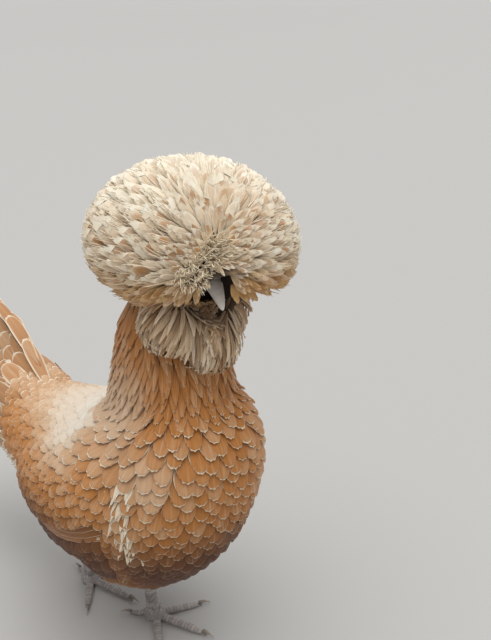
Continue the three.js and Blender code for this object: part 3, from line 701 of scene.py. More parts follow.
# painted shade: the face hollow round the beak, under the crest, is painted near-black on the skin
shadedHollow = (1 - ramp(inOpening(skinSurface.points), 0.95, 1.25)) * (where[:, 1] < -125)
zones = {"pale": pale, "deep": deep, "face": np.maximum(nearFace, shadedHollow), "crest": onCrest, "beard": onBeard}
skin = meshThing("skin", skinSurface.points, skinFaces, zones, None)
bpy.context.view_layer.objects.active = skin
skin.select_set(True)
bpy.ops.object.mode_set(mode="EDIT")
bpy.ops.mesh.select_all(action="SELECT")
bpy.ops.uv.smart_project(angle_limit=math.radians(66), island_margin=0.004)
bpy.ops.object.mode_set(mode="OBJECT")
skin.select_set(False)
skin.data.uv_layers[0].name = "OFBake"
atlasValues = np.empty(len(skin.data.loops) * 2)
skin.data.uv_layers["OFBake"].data.foreach_get("uv", atlasValues)
skin.data.calc_loop_triangles()
atlasFaces = [t.vertices[:] for t in skin.data.loop_triangles]
atlasCorners = atlasValues.reshape(-1, 2)[np.array([t.loops[:] for t in skin.data.loop_triangles])]
atlasTree = BVHTree.FromPolygons(skinSurface.points.tolist(), atlasFaces)


def atlas(points):  # a root's place on the unwrap of the skin
    found = [atlasTree.find_nearest(p)[2] for p in np.asarray(points).tolist()]
    return atlasCorners[found].mean(1)


skinMaterial, nodes, shader = newMaterial("downySkin", 0.85, 0.3, 0.2)
down = grainOf(nodes, 260.0, 4.0)
# painted shade: darker where the deep share is high, low on the body and wing; the pale share holds the painted
# highlight of the back
base = nodes.attribute("deep").mix(colour(150, 106, 66), colour(96, 64, 40))
base = (nodes.attribute("pale") * 0.8).mix(base, plumage["cream"])
base = nodes.attribute("crest").mix(base, colour(176, 146, 112))
base = nodes.attribute("beard").mix(base, colour(104, 84, 66))
# painted shade: near-black in the face hollow
base = nodes.attribute("face").mix(base, colour(40, 34, 31))
paint(shader, (down.step(0.3, 0.8) * 0.6).mix(base, colour(70, 48, 32)), down, 0.6, 1.0 * mm)
addPiece(skin, skinMaterial, "body_feathers", *fleshNodes)
print("skin", len(skin.data.polygons), "faces")


# The coat of the body, in one field of rows from the neck to the rump

bodyPlan = {
    "voxel": 3.5, "candidates": 60000, "across": 10.7, "along": 7.9,
    "width": 15.6, "length": 25.0, "uneven": (0.08, 0.10, 0.05), "order": (0, 2, 1, 3),
    "depth": 6.5, "lift": 0.9, "camber": 1.0, "lace": 1.6, "bevel": 0.55, "ragged": 0.3, "ragSeed": 12,
    "columns": 10, "rootWidth": 0.35,
    "shares": (0, 0.3, 0.5, 0.66, 0.78, 0.87, 0.94, 1),
    "standing": 583,  # this feather would stand up in the crease at the front of the right wing
    "wingEdge": (
        (-98, -85, -62, -45, -20, 10, 33, 45, 56, 64),
        (150, 139, 124, 116, 108, 105, 107, 114, 126, 140),
    ),
}
bodyNodes = ["trunk", "neck", "wing_left", "wing_right", "thigh_left", "thigh_right"]
bodySurface = Surface(*remeshed(*solidOf(bodyNodes, [cushion]), bodyPlan["voxel"]), 9)
x, y, z = toDrawing(bodySurface.points).T
backShare = ramp(bodySurface.normals[:, 2], 0.55, 0.95) * ramp(y, -72, -20)
rearward = 0.22 + 0.6 * ramp(y, -110, -30) + 2.2 * ramp(y, 30, 110) + 3 * backShare
rearward = rearward * (1 - 0.8 * ramp(z, 222, 250))
bodySurface.setFlow(np.stack([0 * x, rearward, -1 + 0 * x], 1))


def onNeck(drawing):
    x, y, z = drawing.T
    return ramp(z + 0.12 * y, 224, 262)


def wingEdge(y):  # height of the lower edge of the folded wing
    return np.interp(y, *bodyPlan["wingEdge"])


def onWing(drawing):
    x, y, z = drawing.T
    above = ramp(z - wingEdge(y), -3, 5) * (1 - ramp(z, 198, 212))
    return ramp(y, -98, -86) * (1 - ramp(y, 54, 64)) * ramp(np.abs(x), 34, 44) * above


def bodySpacing(drawing):  # size and slimness of the feathers
    x, y, z = drawing.T
    saddle = ramp(y, -20, 30) * ramp(z, 150, 190)
    scale = 1.0 - 0.22 * onWing(drawing) * (1 - saddle) - 0.3 * saddle - 0.12 * ramp(y, 60, 120)
    scale = scale - 0.3 * ramp(z, 215, 275) - 0.3 * (1 - ramp(z, 62, 84))
    return scale, 1 - 0.36 * onNeck(drawing)


def bodyKeep(drawing, normals):
    x, y, z = drawing.T
    hidden = (z > 312) | ((normals[:, 2] > 0.75) & (z > 285)) | ((z < 62) & (normals[:, 2] < -0.7))
    high = 38 - 16 * ramp(y, -30, 50)
    flight = (np.abs(x) > 36) & (y > -84) & (y < 56) & (z > wingEdge(y) + 13) & (z < wingEdge(y) + high)
    return ~(hidden | flight)


random = np.random.default_rng(11)
seeds, jitter, lines, facing, shape = growField(
    bodySurface, bodyPlan, random, bodyKeep, bodySpacing, lambda drawing: (1 + 0.5 * onNeck(drawing), 0.0)
)
drawing, scale, count = toDrawing(seeds["places"]), seeds["scale"], len(seeds["scale"])
neck, wing = onNeck(drawing), onWing(drawing)
pale, deep = markingsAndPaintedLight(drawing, seeds["normals"])
shape.update({
    "endWidth": 0.84 - 0.34 * neck,
    "curve": 0.44 + 0.45 * neck,
    "depth": bodyPlan["depth"] * scale,
    "lift": bodyPlan["lift"] * (1 + 0.5 * jitter[3] + 0.8 * wing),
    "camber": bodyPlan["camber"] * scale,
    "lace": bodyPlan["lace"] * (1 - 0.55 * neck) * (1 - 0.4 * wing) * (1 + 0.35 * random.uniform(-1, 1, count)),
    "ragged": bodyPlan["ragged"] * (1 + 3 * neck),
    "marks": {"chance": random.random(count), "pale": pale, "deep": deep, "plain": neck},
})
lacedPlan = {
    "roughness": 0.62, "sheen": 0.15, "wash": 0.85, "variety": 0.3, "streaks": 0.5, "shaft": 0.12,
    "shadow": colour(92, 54, 26), "laceFrom": 0.12, "laceTo": 0.62, "laceShare": 0.95, "barbs": 26.0,
}
lacedFeather = lacedMaterial("lacedFeather", lacedPlan)
zones = {
    "neck_hackle": neck > 0.4,
    "wing_coverts_left": (wing > 0.4) & (drawing[:, 0] > 0),
    "wing_coverts_right": (wing > 0.4) & (drawing[:, 0] < 0),
}
rest = ~np.any(list(zones.values()), axis=0)
zones["breast_feathers"] = rest & (drawing[:, 1] < -40)
zones["rump_feathers"] = rest & (drawing[:, 1] >= -40)
zones["wing_coverts_right"][bodyPlan["standing"]] = False
for name, chosen in zones.items():
    addVanes(name, lacedFeather, "body_feathers", bodySurface, lines, facing, shape, chosen)


# Flight feathers of the folded wings: long vanes that lie one over the other along the flank

flightPlan = {
    "count": 5,
    "shares": (0, 0.1, 0.2, 0.32, 0.45, 0.58, 0.7, 0.8, 0.88, 0.94, 0.98, 1),
    "pitch": 7.4, "width": 17.5, "depth": 2.0, "lift": 0.3, "camber": 0.3, "lace": 1.15, "bevel": 0.3,
    "columns": 6, "rootWidth": 0.6, "endWidth": 0.72, "widest": 0.8, "curve": 0.5, "sink": 2.0, "rimShare": 0.16,
}
for side, sign in (("left", 1), ("right", -1)):
    count = flightPlan["count"]
    random = np.random.default_rng(31 + sign)
    lines, facing = [], []
    for i in range(count):
        path = []
        for share in flightPlan["shares"]:
            y = -90 + 2.5 * i + (128 + 2.0 * i) * share
            z = wingEdge(y) + 6 + flightPlan["pitch"] * i * (1 - 0.35 * share)
            start = Vector(place(sign * 150, y, z))
            found = bodySurface.tree.ray_cast(start, Vector(place(0, y, 0.4 * z + 98)) - start)
            path.append((found[0][:], found[2]))
        lines.append([p for p, _ in path])
        facing.append(bodySurface.read(np.array(lines[-1]), np.array([k for _, k in path]), "normal")[0])
    order = np.arange(count)
    shape = {
        **flightPlan,
        "width": flightPlan["width"] * (1 + 0.04 * random.uniform(-1, 1, count)),
        "offset": -1.6 - 0.15 * order,
        "lean": -sign * (1.9 - 0.12 * order),
        "marks": {"chance": random.random(count), "pale": 0.0, "deep": 0.35, "plain": 0.0},
    }
    addVanes("flight_feathers_" + side, lacedFeather, "body_feathers", bodySurface, lines, facing, shape)


# Tail feathers: two rows that meet along the top like a tent

tailPlan = {
    "each": 7,
    "shares": (0, 0.15, 0.3, 0.45, 0.58, 0.7, 0.8, 0.88, 0.94, 0.98, 1),
    "reach": 146.0, "width": 29.0, "camber": 1.3, "lace": 4.6,
    "columns": 8, "rootWidth": 0.38, "endWidth": 0.66, "widest": 0.8, "curve": 0.42, "rimShare": 0.13,
}


def tailLine(t, sign):  # the shaft of the feather that is the share t of the way down one side
    reach = tailPlan["reach"] * (1 - 0.14 * t) * np.array(tailPlan["shares"])
    lift, spread = math.radians(34 - 40 * t), math.radians(15 * t)
    out = -1.5 + 21 * math.sin(t * math.pi / 2)
    x = sign * (out + reach * math.sin(spread))
    y = 95 + reach * math.cos(spread) * math.cos(lift)
    z = 186 - 48 * t + reach * math.sin(lift) - 5.0 * (reach / 140) ** 2
    return toScene(np.stack([x, y, z], 1))


def tailAxes(t, sign):  # at such a shaft: down the row of feathers, and out from it
    full = tailLine(t, sign)
    downward = unit(tailLine(t + 0.03, sign) - tailLine(t - 0.03, sign))
    return full, downward, unit(np.cross(downward, unit(full[-1] - full[0])) * sign)


random = np.random.default_rng(41)
lines, facing = [], []
for sign in (1, -1):
    for i in range(tailPlan["each"]):
        line, downward, outward = tailAxes((i + 0.5) / tailPlan["each"], sign)
        lines.append(line - outward * 0.6 * i * mm)
        facing.append(unit(outward - 0.13 * downward))
count = len(lines)
order = np.tile(np.arange(tailPlan["each"]), 2)
shape = {
    **tailPlan,
    "width": tailPlan["width"] * (1 + 0.05 * random.uniform(-1, 1, count)),
    "marks": {"chance": random.random(count), "pale": 0.28, "deep": 0.03 * order, "plain": 0.0},
}
tail = ("tail_feathers", lacedFeather, "body_feathers", bodySurface, lines, facing, shape)
addVanes(*tail, cling=False, nodes=["tail"])


# Coverts over the roots of the tail: they leave the rump and lie along the tail feathers

covertPlan = {
    "shares": (0, 0.22, 0.42, 0.6, 0.74, 0.85, 0.93, 0.98, 1),
    "rows": ((0.0, 8, 90, 24), (0.02, 7, 76, 22), (0.0, 7, 62, 20), (0.02, 6, 50, 18)),  # start, count, reach, width
    "span": 46,
    "ridge": ((64, 56, 12), (42, 56, 13), (20, 56, 14), (-4, 50, 14)),  # start, length, width
    "crown": 8.5, "droop": 7.0, "camber": 1.3, "lace": 2.8, "ragged": 0.6, "ragSeed": 44,
    "columns": 8, "rootWidth": 0.5, "endWidth": 0.8, "widest": 0.7, "curve": 0.45, "rimShare": 0.16,
}
random = np.random.default_rng(43)
shares = np.array(covertPlan["shares"])
lines, facing, widths = [], [], []
for level, (start, each, reach, width) in enumerate(covertPlan["rows"]):
    for sign in (1, -1):
        for i in range(each):
            t = start + (i + 0.5 * (level % 2)) * 1.02 / each
            end = reach * (1 - 0.2 * t) * (1 + 0.06 * random.uniform(-1, 1))
            full, downward, outward = tailAxes(t, sign)
            downward, outward = downward[4], outward[4]
            at = (end + covertPlan["span"] * (shares - 1)) / tailPlan["reach"]
            line = full[0] + (full[-1] - full[0]) * at[:, None] + outward * (1.8 + 1.0 * level) * mm
            near, away = bodySurface.look(line, "normal")
            lowest = (-5.5 + 6.6 * shares + 0.5 * level) * mm
            lift = np.maximum(lowest - ((line - near) * away).sum(1), 0)
            share = np.clip(lift / (4 * mm), 0, 1)[:, None]
            lines.append(line + away * lift[:, None])
            facing.append(unit((outward - 0.16 * downward) * (1 - share) + away * share))
            widths.append(width * (1 + 0.06 * random.uniform(-1, 1)))
for start, reach, width in covertPlan["ridge"]:  # along the top, where the two rows meet
    full = tailLine(0.0, 0)
    way = unit(full[-1] - full[0])
    rise = np.array([0, -way[2], way[1]])
    at = start + reach * shares
    along = tailPlan["reach"] * np.array(tailPlan["shares"])
    bent = np.stack([np.interp(at, along, full[:, k]) for k in range(3)], 1) + way * np.minimum(at, 0)[:, None] * mm
    crown = covertPlan["crown"] * np.sin(np.clip(at / 60, 0, 1) * math.pi / 2)
    crown = crown - covertPlan["droop"] * ramp(at, 55, 120)
    lines.append(bent + rise * crown[:, None] * mm)
    facing.append(np.tile(rise, (len(at), 1)))
    widths.append(width)
count = len(lines)
shape = {
    **covertPlan,
    "width": np.array(widths),
    "lace": covertPlan["lace"] * random.uniform(0.7, 1.3, count),
    "marks": {"chance": random.random(count), "pale": 0.2, "deep": 0.1, "plain": 0.0},
}
addVanes("tail_coverts", lacedFeather, "body_feathers", bodySurface, lines, facing, shape, cling=False)


# Soft plumes of the crest, the beard and the face

def softMaterial(name, plan):  # hairy cream vanes, some with a brown middle
    material, nodes, shader = newMaterial(name, plan["roughness"], plan["sheen"], 0.2)
    along, across, chance, deep, spot = [nodes.attribute(key) for key in ("along", "across", "chance", "deep", "spot")]
    space = vaneSpace(along * 1.6, across * plan["hair"], chance)
    links = {"Vector": space, "Scale": 1.5, "Detail": 4.0, "Roughness": 0.6}
    hair = nodes.node("ShaderNodeTexNoise", {}, links)
    middle = along.step(0.3, 0.7) * (1 - along.step(0.74, 1.0)) * (1 - across.size().step(0.1, 0.9))
    # on the crest the deep share holds painted shade on the underside, and less of it on the lit top
    base = deep.mix(plan["light"], plan["dark"])
    base = (middle * spot + (hair - 0.5) * spot * 0.5).mix(base, plan["spot"])
    # the tone varies at random and with the hair, and is darker toward the root as painted shade where the plumes
    # above lie over it
    tone = (chance - 0.5) * plan["variety"] + (hair - 0.5) * plan["streaks"] + (along - 0.75) * 0.3
    paint(shader, toned(base, tone, plan["shadow"], plan["shine"]), hair, 0.4, 0.5 * mm)
    return material


def fromSegment(points, start, end):  # the way from the nearest point of a straight line
    share = np.clip((points - start) @ (end - start) / np.sum((end - start) ** 2), 0, 1)
    return points - start - share[:, None] * (end - start)


crestPlan = {
    "voxel": 3.5, "candidates": 24000, "across": 7.0, "along": 7.4,
    "width": 14.0, "length": 36.0, "uneven": (0.15, 0.22, 0.15),
    "depth": 10.0, "lift": 2.5, "camber": 1.5, "lace": 3.0, "ragged": 3.4, "ragSeed": 52, "lowest": 327,
    "columns": 9, "rootWidth": 0.3, "widest": 0.7, "curve": 0.6,
    "shares": (0, 0.25, 0.45, 0.61, 0.73, 0.82, 0.88, 1),
    "middle": (6, -101, 349), "half": (68, 67, 54), "lower": 41, "turn": (5, 4, -16),
    "parting": (-21.5, -159.2, 366.4), "partingEnds": ((-19.5, -162.7, 350), (-34.5, -155.5, 345)),
}
crestForm = roundSolid(crestPlan["middle"], crestPlan["half"], turned(*crestPlan["turn"], "ZYX"), crestPlan["lower"])
crestSurface = Surface(*remeshed(*crestForm, crestPlan["voxel"]), 2)


def fromParting(points):  # the way from the nearest point of the parting
    parting = place(*crestPlan["parting"])
    ways = [fromSegment(points, parting, place(*end)) for end in crestPlan["partingEnds"]]
    nearer = np.linalg.norm(ways[0], axis=1) < np.linalg.norm(ways[1], axis=1)
    return np.where(nearer[:, None], *ways)


crestSurface.setFlow(fromParting(crestSurface.points), 3)
crestSurface.fields["progress"] = np.linalg.norm(fromParting(crestSurface.points), axis=1)[:, None]


def crestKeep(drawing, normals):
    return inOpening(toScene(drawing)) > 1.0


def crestSpacing(drawing):  # small petals near the parting, the longest on the crown and the right lobe
    away = np.linalg.norm(fromParting(toScene(drawing)), axis=1) / mm
    lower = 1 - ramp(drawing[:, 2], 318, 372)
    scale = 0.3 + 0.32 * ramp(away, 3, 26) + 0.38 * ramp(away, 20, 72)
    return scale - 0.14 * lower * (1 - ramp(drawing[:, 0], 10, 50)), np.ones(len(drawing))


def crestMarksAndPaintedLight(drawing, normals, random):  # brown share of the whole plume, and of its middle: random spots, with painted shade on the underside and under the lobe at the front, and less brown on the top as a painted highlight
    count = len(drawing)
    # painted highlight: less brown on the top that faces up to the light
    top = ramp(normals[:, 2], 0.3, 0.9) * ramp(drawing[:, 1], -150, -110)
    # painted shade: more brown on the underside that faces down, and under the lobe at the front
    underShade = 1 - ramp(normals[:, 2], -0.75, -0.05)
    luck = random.random(count)
    spot = np.where(luck > 0.66, 0.9, 0.6 * random.random(count)) * (1 - 0.5 * top)
    light = 0.16 * ramp(drawing[:, 0], 10, 50)
    x, y, z = drawing.T
    shade = ramp(x, -16, -4) * (1 - ramp(x, 34, 52)) * (1 - ramp(z, 334, 350)) * (1 - ramp(y, -130, -110))
    deep = (0.3 - light) * (1 - top) + 0.8 * underShade + 0.8 * shade + 0.2 * random.uniform(-1, 1, count)
    spot = np.maximum(spot, np.maximum(0.35 * underShade, 0.6 * shade))
    return {"chance": random.random(count), "deep": np.clip(deep, 0, 1), "spot": spot}


def isClear(lines, lowest):  # neither over the hollow of the face nor hanging down in front of it
    starts, tips = toDrawing(lines[:, 0]), toDrawing(lines[:, -1])
    hangs = (tips[:, 2] < lowest) & ((tips[:, 1] < -112) | (starts[:, 2] > 334))
    return (inOpening(lines) > 0.9).all(1) & ~hangs


random = np.random.default_rng(51)
seeds, jitter, lines, facing, shape = growField(crestSurface, crestPlan, random, crestKeep, crestSpacing)
scale = seeds["scale"]
shape.update({
    "endWidth": 0.62 + 0.1 * jitter[3],
    "depth": crestPlan["depth"] * scale,
    "lift": crestPlan["lift"] * (1 + 0.35 * jitter[4]),
    "camber": crestPlan["camber"] * scale * (1 + 0.4 * jitter[0]),
    "ragged": crestPlan["ragged"] * scale,
    "marks": crestMarksAndPaintedLight(toDrawing(lines[:, -2]), facing[:, -2], random),
})
crestMaterial = softMaterial("crestPlume", {
    "roughness": 0.75, "sheen": 0.3, "hair": 9.0, "variety": 0.35, "streaks": 1.5,
    "light": colour(254, 243, 218), "dark": colour(214, 170, 112), "spot": colour(186, 130, 72),
    "shadow": colour(116, 78, 44), "shine": colour(255, 252, 246),
})
clear = isClear(lines, crestPlan["lowest"])
addVanes("crest_plumes", crestMaterial, "crest_feathers", crestSurface, lines, facing, shape, clear)

strandPlan = {
    "candidates": 90000, "across": 1.7, "along": 5.0, "width": 1.15, "length": 31.0, "uneven": (0.2, 0.3, 0.35),
    "depth": 7.0, "lift": 2.6, "camber": 0.5, "lace": 1.0, "lowest": 324,
    "columns": 2, "rootWidth": 0.6, "endWidth": 0.12, "widest": 0.5, "curve": 0.4,
    "shares": (0, 0.3, 0.55, 0.8, 1),
}
random = np.random.default_rng(53)
seeds, jitter, lines, facing, shape = growField(crestSurface, strandPlan, random, crestKeep)
shape.update({
    "lift": strandPlan["lift"] * (1 + 0.9 * jitter[3]),
    "marks": crestMarksAndPaintedLight(toDrawing(lines[:, -2]), facing[:, -2], random),
})
clear = isClear(lines, strandPlan["lowest"])
addVanes("crest_strands", crestMaterial, "crest_feathers", crestSurface, lines, facing, shape, clear)


# Short new feathers, still in their sheaths, at the front of the crest

pinPlan = {
    "count": 420, "candidates": 60000, "length": 8.5, "radius": 0.42, "reach": 10.5, "sunk": 3, "bend": 0.06,
    "upper": (-23, -160.5, 362), "lower": (-37, -153.5, 346),
    "sides": 5, "rings": ((0, 1.0), (0.45, 0.95), (0.8, 0.6)),  # how far up, how thick
}
random = np.random.default_rng(61)
places, triangles = crestSurface.scatter(pinPlan["candidates"], random)
normals = crestSurface.read(places, triangles, "normal")[0]
away = np.linalg.norm(fromSegment(places, place(*pinPlan["upper"]), place(*pinPlan["lower"])), axis=1)
isNear = (away < pinPlan["reach"] * mm) & (inOpening(places) > 1.0)
chosen = np.flatnonzero(isNear)[: pinPlan["count"]]
bases, count, sides = places[chosen] - normals[chosen] * pinPlan["sunk"] * mm, len(chosen), pinPlan["sides"]
aims = unit(normals[chosen] + 0.35 * random.normal(size=(count, 3)) + (0.1, -0.2, 0.35))
lengths = (pinPlan["length"] * mm * random.uniform(0.7, 1.3, count))[:, None]
radii = (pinPlan["radius"] * mm * random.uniform(0.7, 1.2, count))[:, None]
first = unit(np.cross(aims, np.array([0.31, 0.52, 0.8])))
second = np.cross(aims, first)
points = []
for share, size in pinPlan["rings"]:
    middle = bases + aims * lengths * share + second * pinPlan["bend"] * lengths * share**2
    for angle in 2 * math.pi * np.arange(sides) / sides:
        points.append(middle + (first * math.cos(angle) + second * math.sin(angle)) * radii * size)
points = np.stack([*points, bases + aims * lengths + second * pinPlan["bend"] * lengths], 1)
faces = ringFaces(3, sides) + [(10 + k, 10 + (k + 1) % sides, 15) for k in range(sides)] + [(4, 3, 2, 1, 0)]
level = np.array([share for share, _ in pinPlan["rings"] for _ in range(sides)] + [1.0])
marks = {"chance": random.random((count, 1)), "deep": 0.25 * random.random((count, 1)), "spot": 0.0}
marks = {"along": level, "across": 0.0, "rim": 0.0, **marks}
marks = {key: np.broadcast_to(value, (count, len(level))) for key, value in marks.items()}
uv = np.repeat(atlas(bases)[:, None], len(level), 1)
uv[:, :, 0] += 0.0015 * np.cos(np.arange(len(level)) * 2.4)
uv[:, :, 1] += 0.003 * (level - 0.5)
addPiece(joinMany("crest_pins", points, faces, marks, uv), crestMaterial, "crest_feathers")


# Beard and muffs: narrow plumes that hang from the face

beardPlan = {
    "voxel": 2.6, "candidates": 26000, "across": 2.3, "along": 4.6,
    "width": 3.2, "length": 26.0, "uneven": (0.2, 0.25, 0.3),
    "depth": 5.5, "lift": 1.6, "camber": 0.7, "lace": 1.2, "ragged": 1.8, "ragSeed": 72,
    "columns": 4, "rootWidth": 0.4, "widest": 0.6, "curve": 0.6,
    "shares": (0, 0.25, 0.48, 0.66, 0.8, 0.9, 1),
    "mouth": (0, 2, 2),
}
beardForm = solidOf(["beard", "muff_left", "muff_right"], (), 0.0)
beardSurface = Surface(*remeshed(*beardForm, beardPlan["voxel"]), 4)
fromMouth = beardSurface.points - fromHead(*beardPlan["mouth"])
beardSurface.setFlow(unit(fromMouth) + (0, 0, -0.75), 4)
outward = np.linalg.norm(fromMouth, axis=1) - 0.6 * beardSurface.points[:, 2]
beardSurface.fields["progress"] = outward[:, None]


def beardKeep(drawing, normals):
    return inOpening(toScene(drawing)) > 0.9


random = np.random.default_rng(71)
seeds, jitter, lines, facing, shape = growField(beardSurface, beardPlan, random, beardKeep)
chance, spot = random.random((2, len(lines)))
shape.update({
    "endWidth": 0.35 + 0.15 * jitter[3],
    "lift": beardPlan["lift"] * (1 + jitter[4]),
    "marks": {"chance": chance, "deep": np.clip(0.45 + 0.45 * jitter[3], 0, 1), "spot": 0.5 * spot},
})
beardMaterial = softMaterial("beardPlume", {
    "roughness": 0.8, "sheen": 0.25, "hair": 5.0, "variety": 0.95, "streaks": 1.6,
    "light": colour(250, 222, 184), "dark": colour(186, 140, 96), "spot": colour(112, 76, 46),
    "shadow": colour(56, 38, 24), "shine": colour(246, 232, 208),
})
addVanes("beard_plumes", beardMaterial, "beard_feathers", beardSurface, lines, facing, shape)


# Loose down, at the front edge of the wings and under the tail

wispPlan = {
    "candidates": 60000, "across": 3.0, "along": 5.0, "width": 3.8, "length": 24.0, "uneven": (0.25, 0.18, 0.35),
    "depth": 4.0, "lift": 1.5, "camber": 0.5, "lace": 1.2, "ragged": 2.2, "ragSeed": 82,
    "columns": 4, "rootWidth": 0.5, "widest": 0.55, "curve": 0.6,
    "shares": (0, 0.3, 0.55, 0.78, 0.9, 1),
}


def wispKeep(drawing, normals):
    x, y, z = drawing.T
    front = (np.abs(x) > 46) & (y > -107) & (y < -97) & (z > 146) & (z < 206)
    vent = (y > 62) & (z < 150) & (z > 92)
    return front | vent


def wispExtra(drawing):  # the down under the tail is longer and looser
    return 1 + 0.25 * ramp(drawing[:, 1], 50, 60), 0.27 * (drawing[:, 1] > 0)


random = np.random.default_rng(81)
seeds, jitter, lines, facing, shape = growField(bodySurface, wispPlan, random, wispKeep, extra=wispExtra)
vent = toDrawing(lines[:, 0])[:, 1] > 0
chance, spot = random.random((2, len(lines)))
shape.update({
    "endWidth": 0.3 + 0.15 * jitter[3],
    "lift": (wispPlan["lift"] + 0.7 * vent) * (1 + 0.5 * jitter[4]),
    "marks": {"chance": chance, "deep": np.clip(0.25 + 0.3 * jitter[3], 0, 1), "spot": 0.15 * spot},
})
for name, chosen in (("vent_down", vent), ("wing_front_down", ~vent)):
    addVanes(name, crestMaterial, "body_feathers", bodySurface, lines, facing, shape, chosen)


# Feet and legs: one scaly skin over shank, pad and toes on each side, and claws of their own

legPlan = {
    "voxel": 0.8,
    "left": {"at": leftFoot, "turnOut": 18, "hockBack": 22, "hockOut": 4},
    "right": {"at": (5, 60), "turnOut": -12, "hockBack": -36, "hockOut": 20},
    "toes": {"inner": (-50, 40, 3.9), "middle": (0, 51, 4.3), "outer": (50, 42, 3.8), "hind": (198, 24, 3.2)},
    "shankPitch": 4.4,
    "toePitch": 3.1,
    "ringPitch": 2.4,
    "beadPitch": 2.0,
    "relief": 0.3,
}
clawPlan = {"rings": 13, "sides": 12, "length": 10.7, "rooted": 3, "thick": 2.5 / 4.3, "tip": 0.35, "arch": 1.1}


def loft(rings):  # points and faces of closed rings in a row, closed at both ends
    rings = np.asarray(rings)
    count, size = rings.shape[:2]
    ends = [tuple(range(size - 1, -1, -1)), tuple((count - 1) * size + s for s in range(size))]
    return rings.reshape(-1, 3), ringFaces(count, size) + ends


def plates(phase, width):  # height of overlapping plates, and the groove between them
    share = phase % 1.0
    groove = np.maximum(1 - share / width, 0) + np.maximum(1 - (1 - share) / width, 0)
    return 0.6 * (1 - share) + 0.4, np.clip(groove, 0, 1)


def onGround(degrees):  # forward and sideways, for something turned outward
    turn = math.radians(degrees)
    return np.array([math.sin(turn), -math.cos(turn), 0]), np.array([math.cos(turn), math.sin(turn), 0])


legMaterial, nodes, shader = newMaterial("slateScales", 0.5, 0.0, 0.4)
mottle = grainOf(nodes, 110.0, 2.0)
base = nodes.attribute("tone").mix(colour(176, 169, 166), colour(212, 204, 198))
base = (nodes.attribute("toe") * 0.4).mix(base, colour(160, 149, 140))
base = (mottle.step(0.35, 0.75) * 0.4).mix(base, colour(128, 120, 116))
base = (nodes.attribute("groove") * 0.7).mix(base, colour(84, 74, 66))
paint(shader, base, grainOf(nodes, 600.0, 3.0))
clawMaterial, nodes, shader = newMaterial("hornClaw", 0.4, 0.0, 0.45)
base = nodes.attribute("along").mix(colour(126, 114, 104), colour(204, 190, 174))
paint(shader, (grainOf(nodes, 400.0, 3.0).step(0.4, 0.7) * 0.3).mix(base, colour(80, 68, 60)))

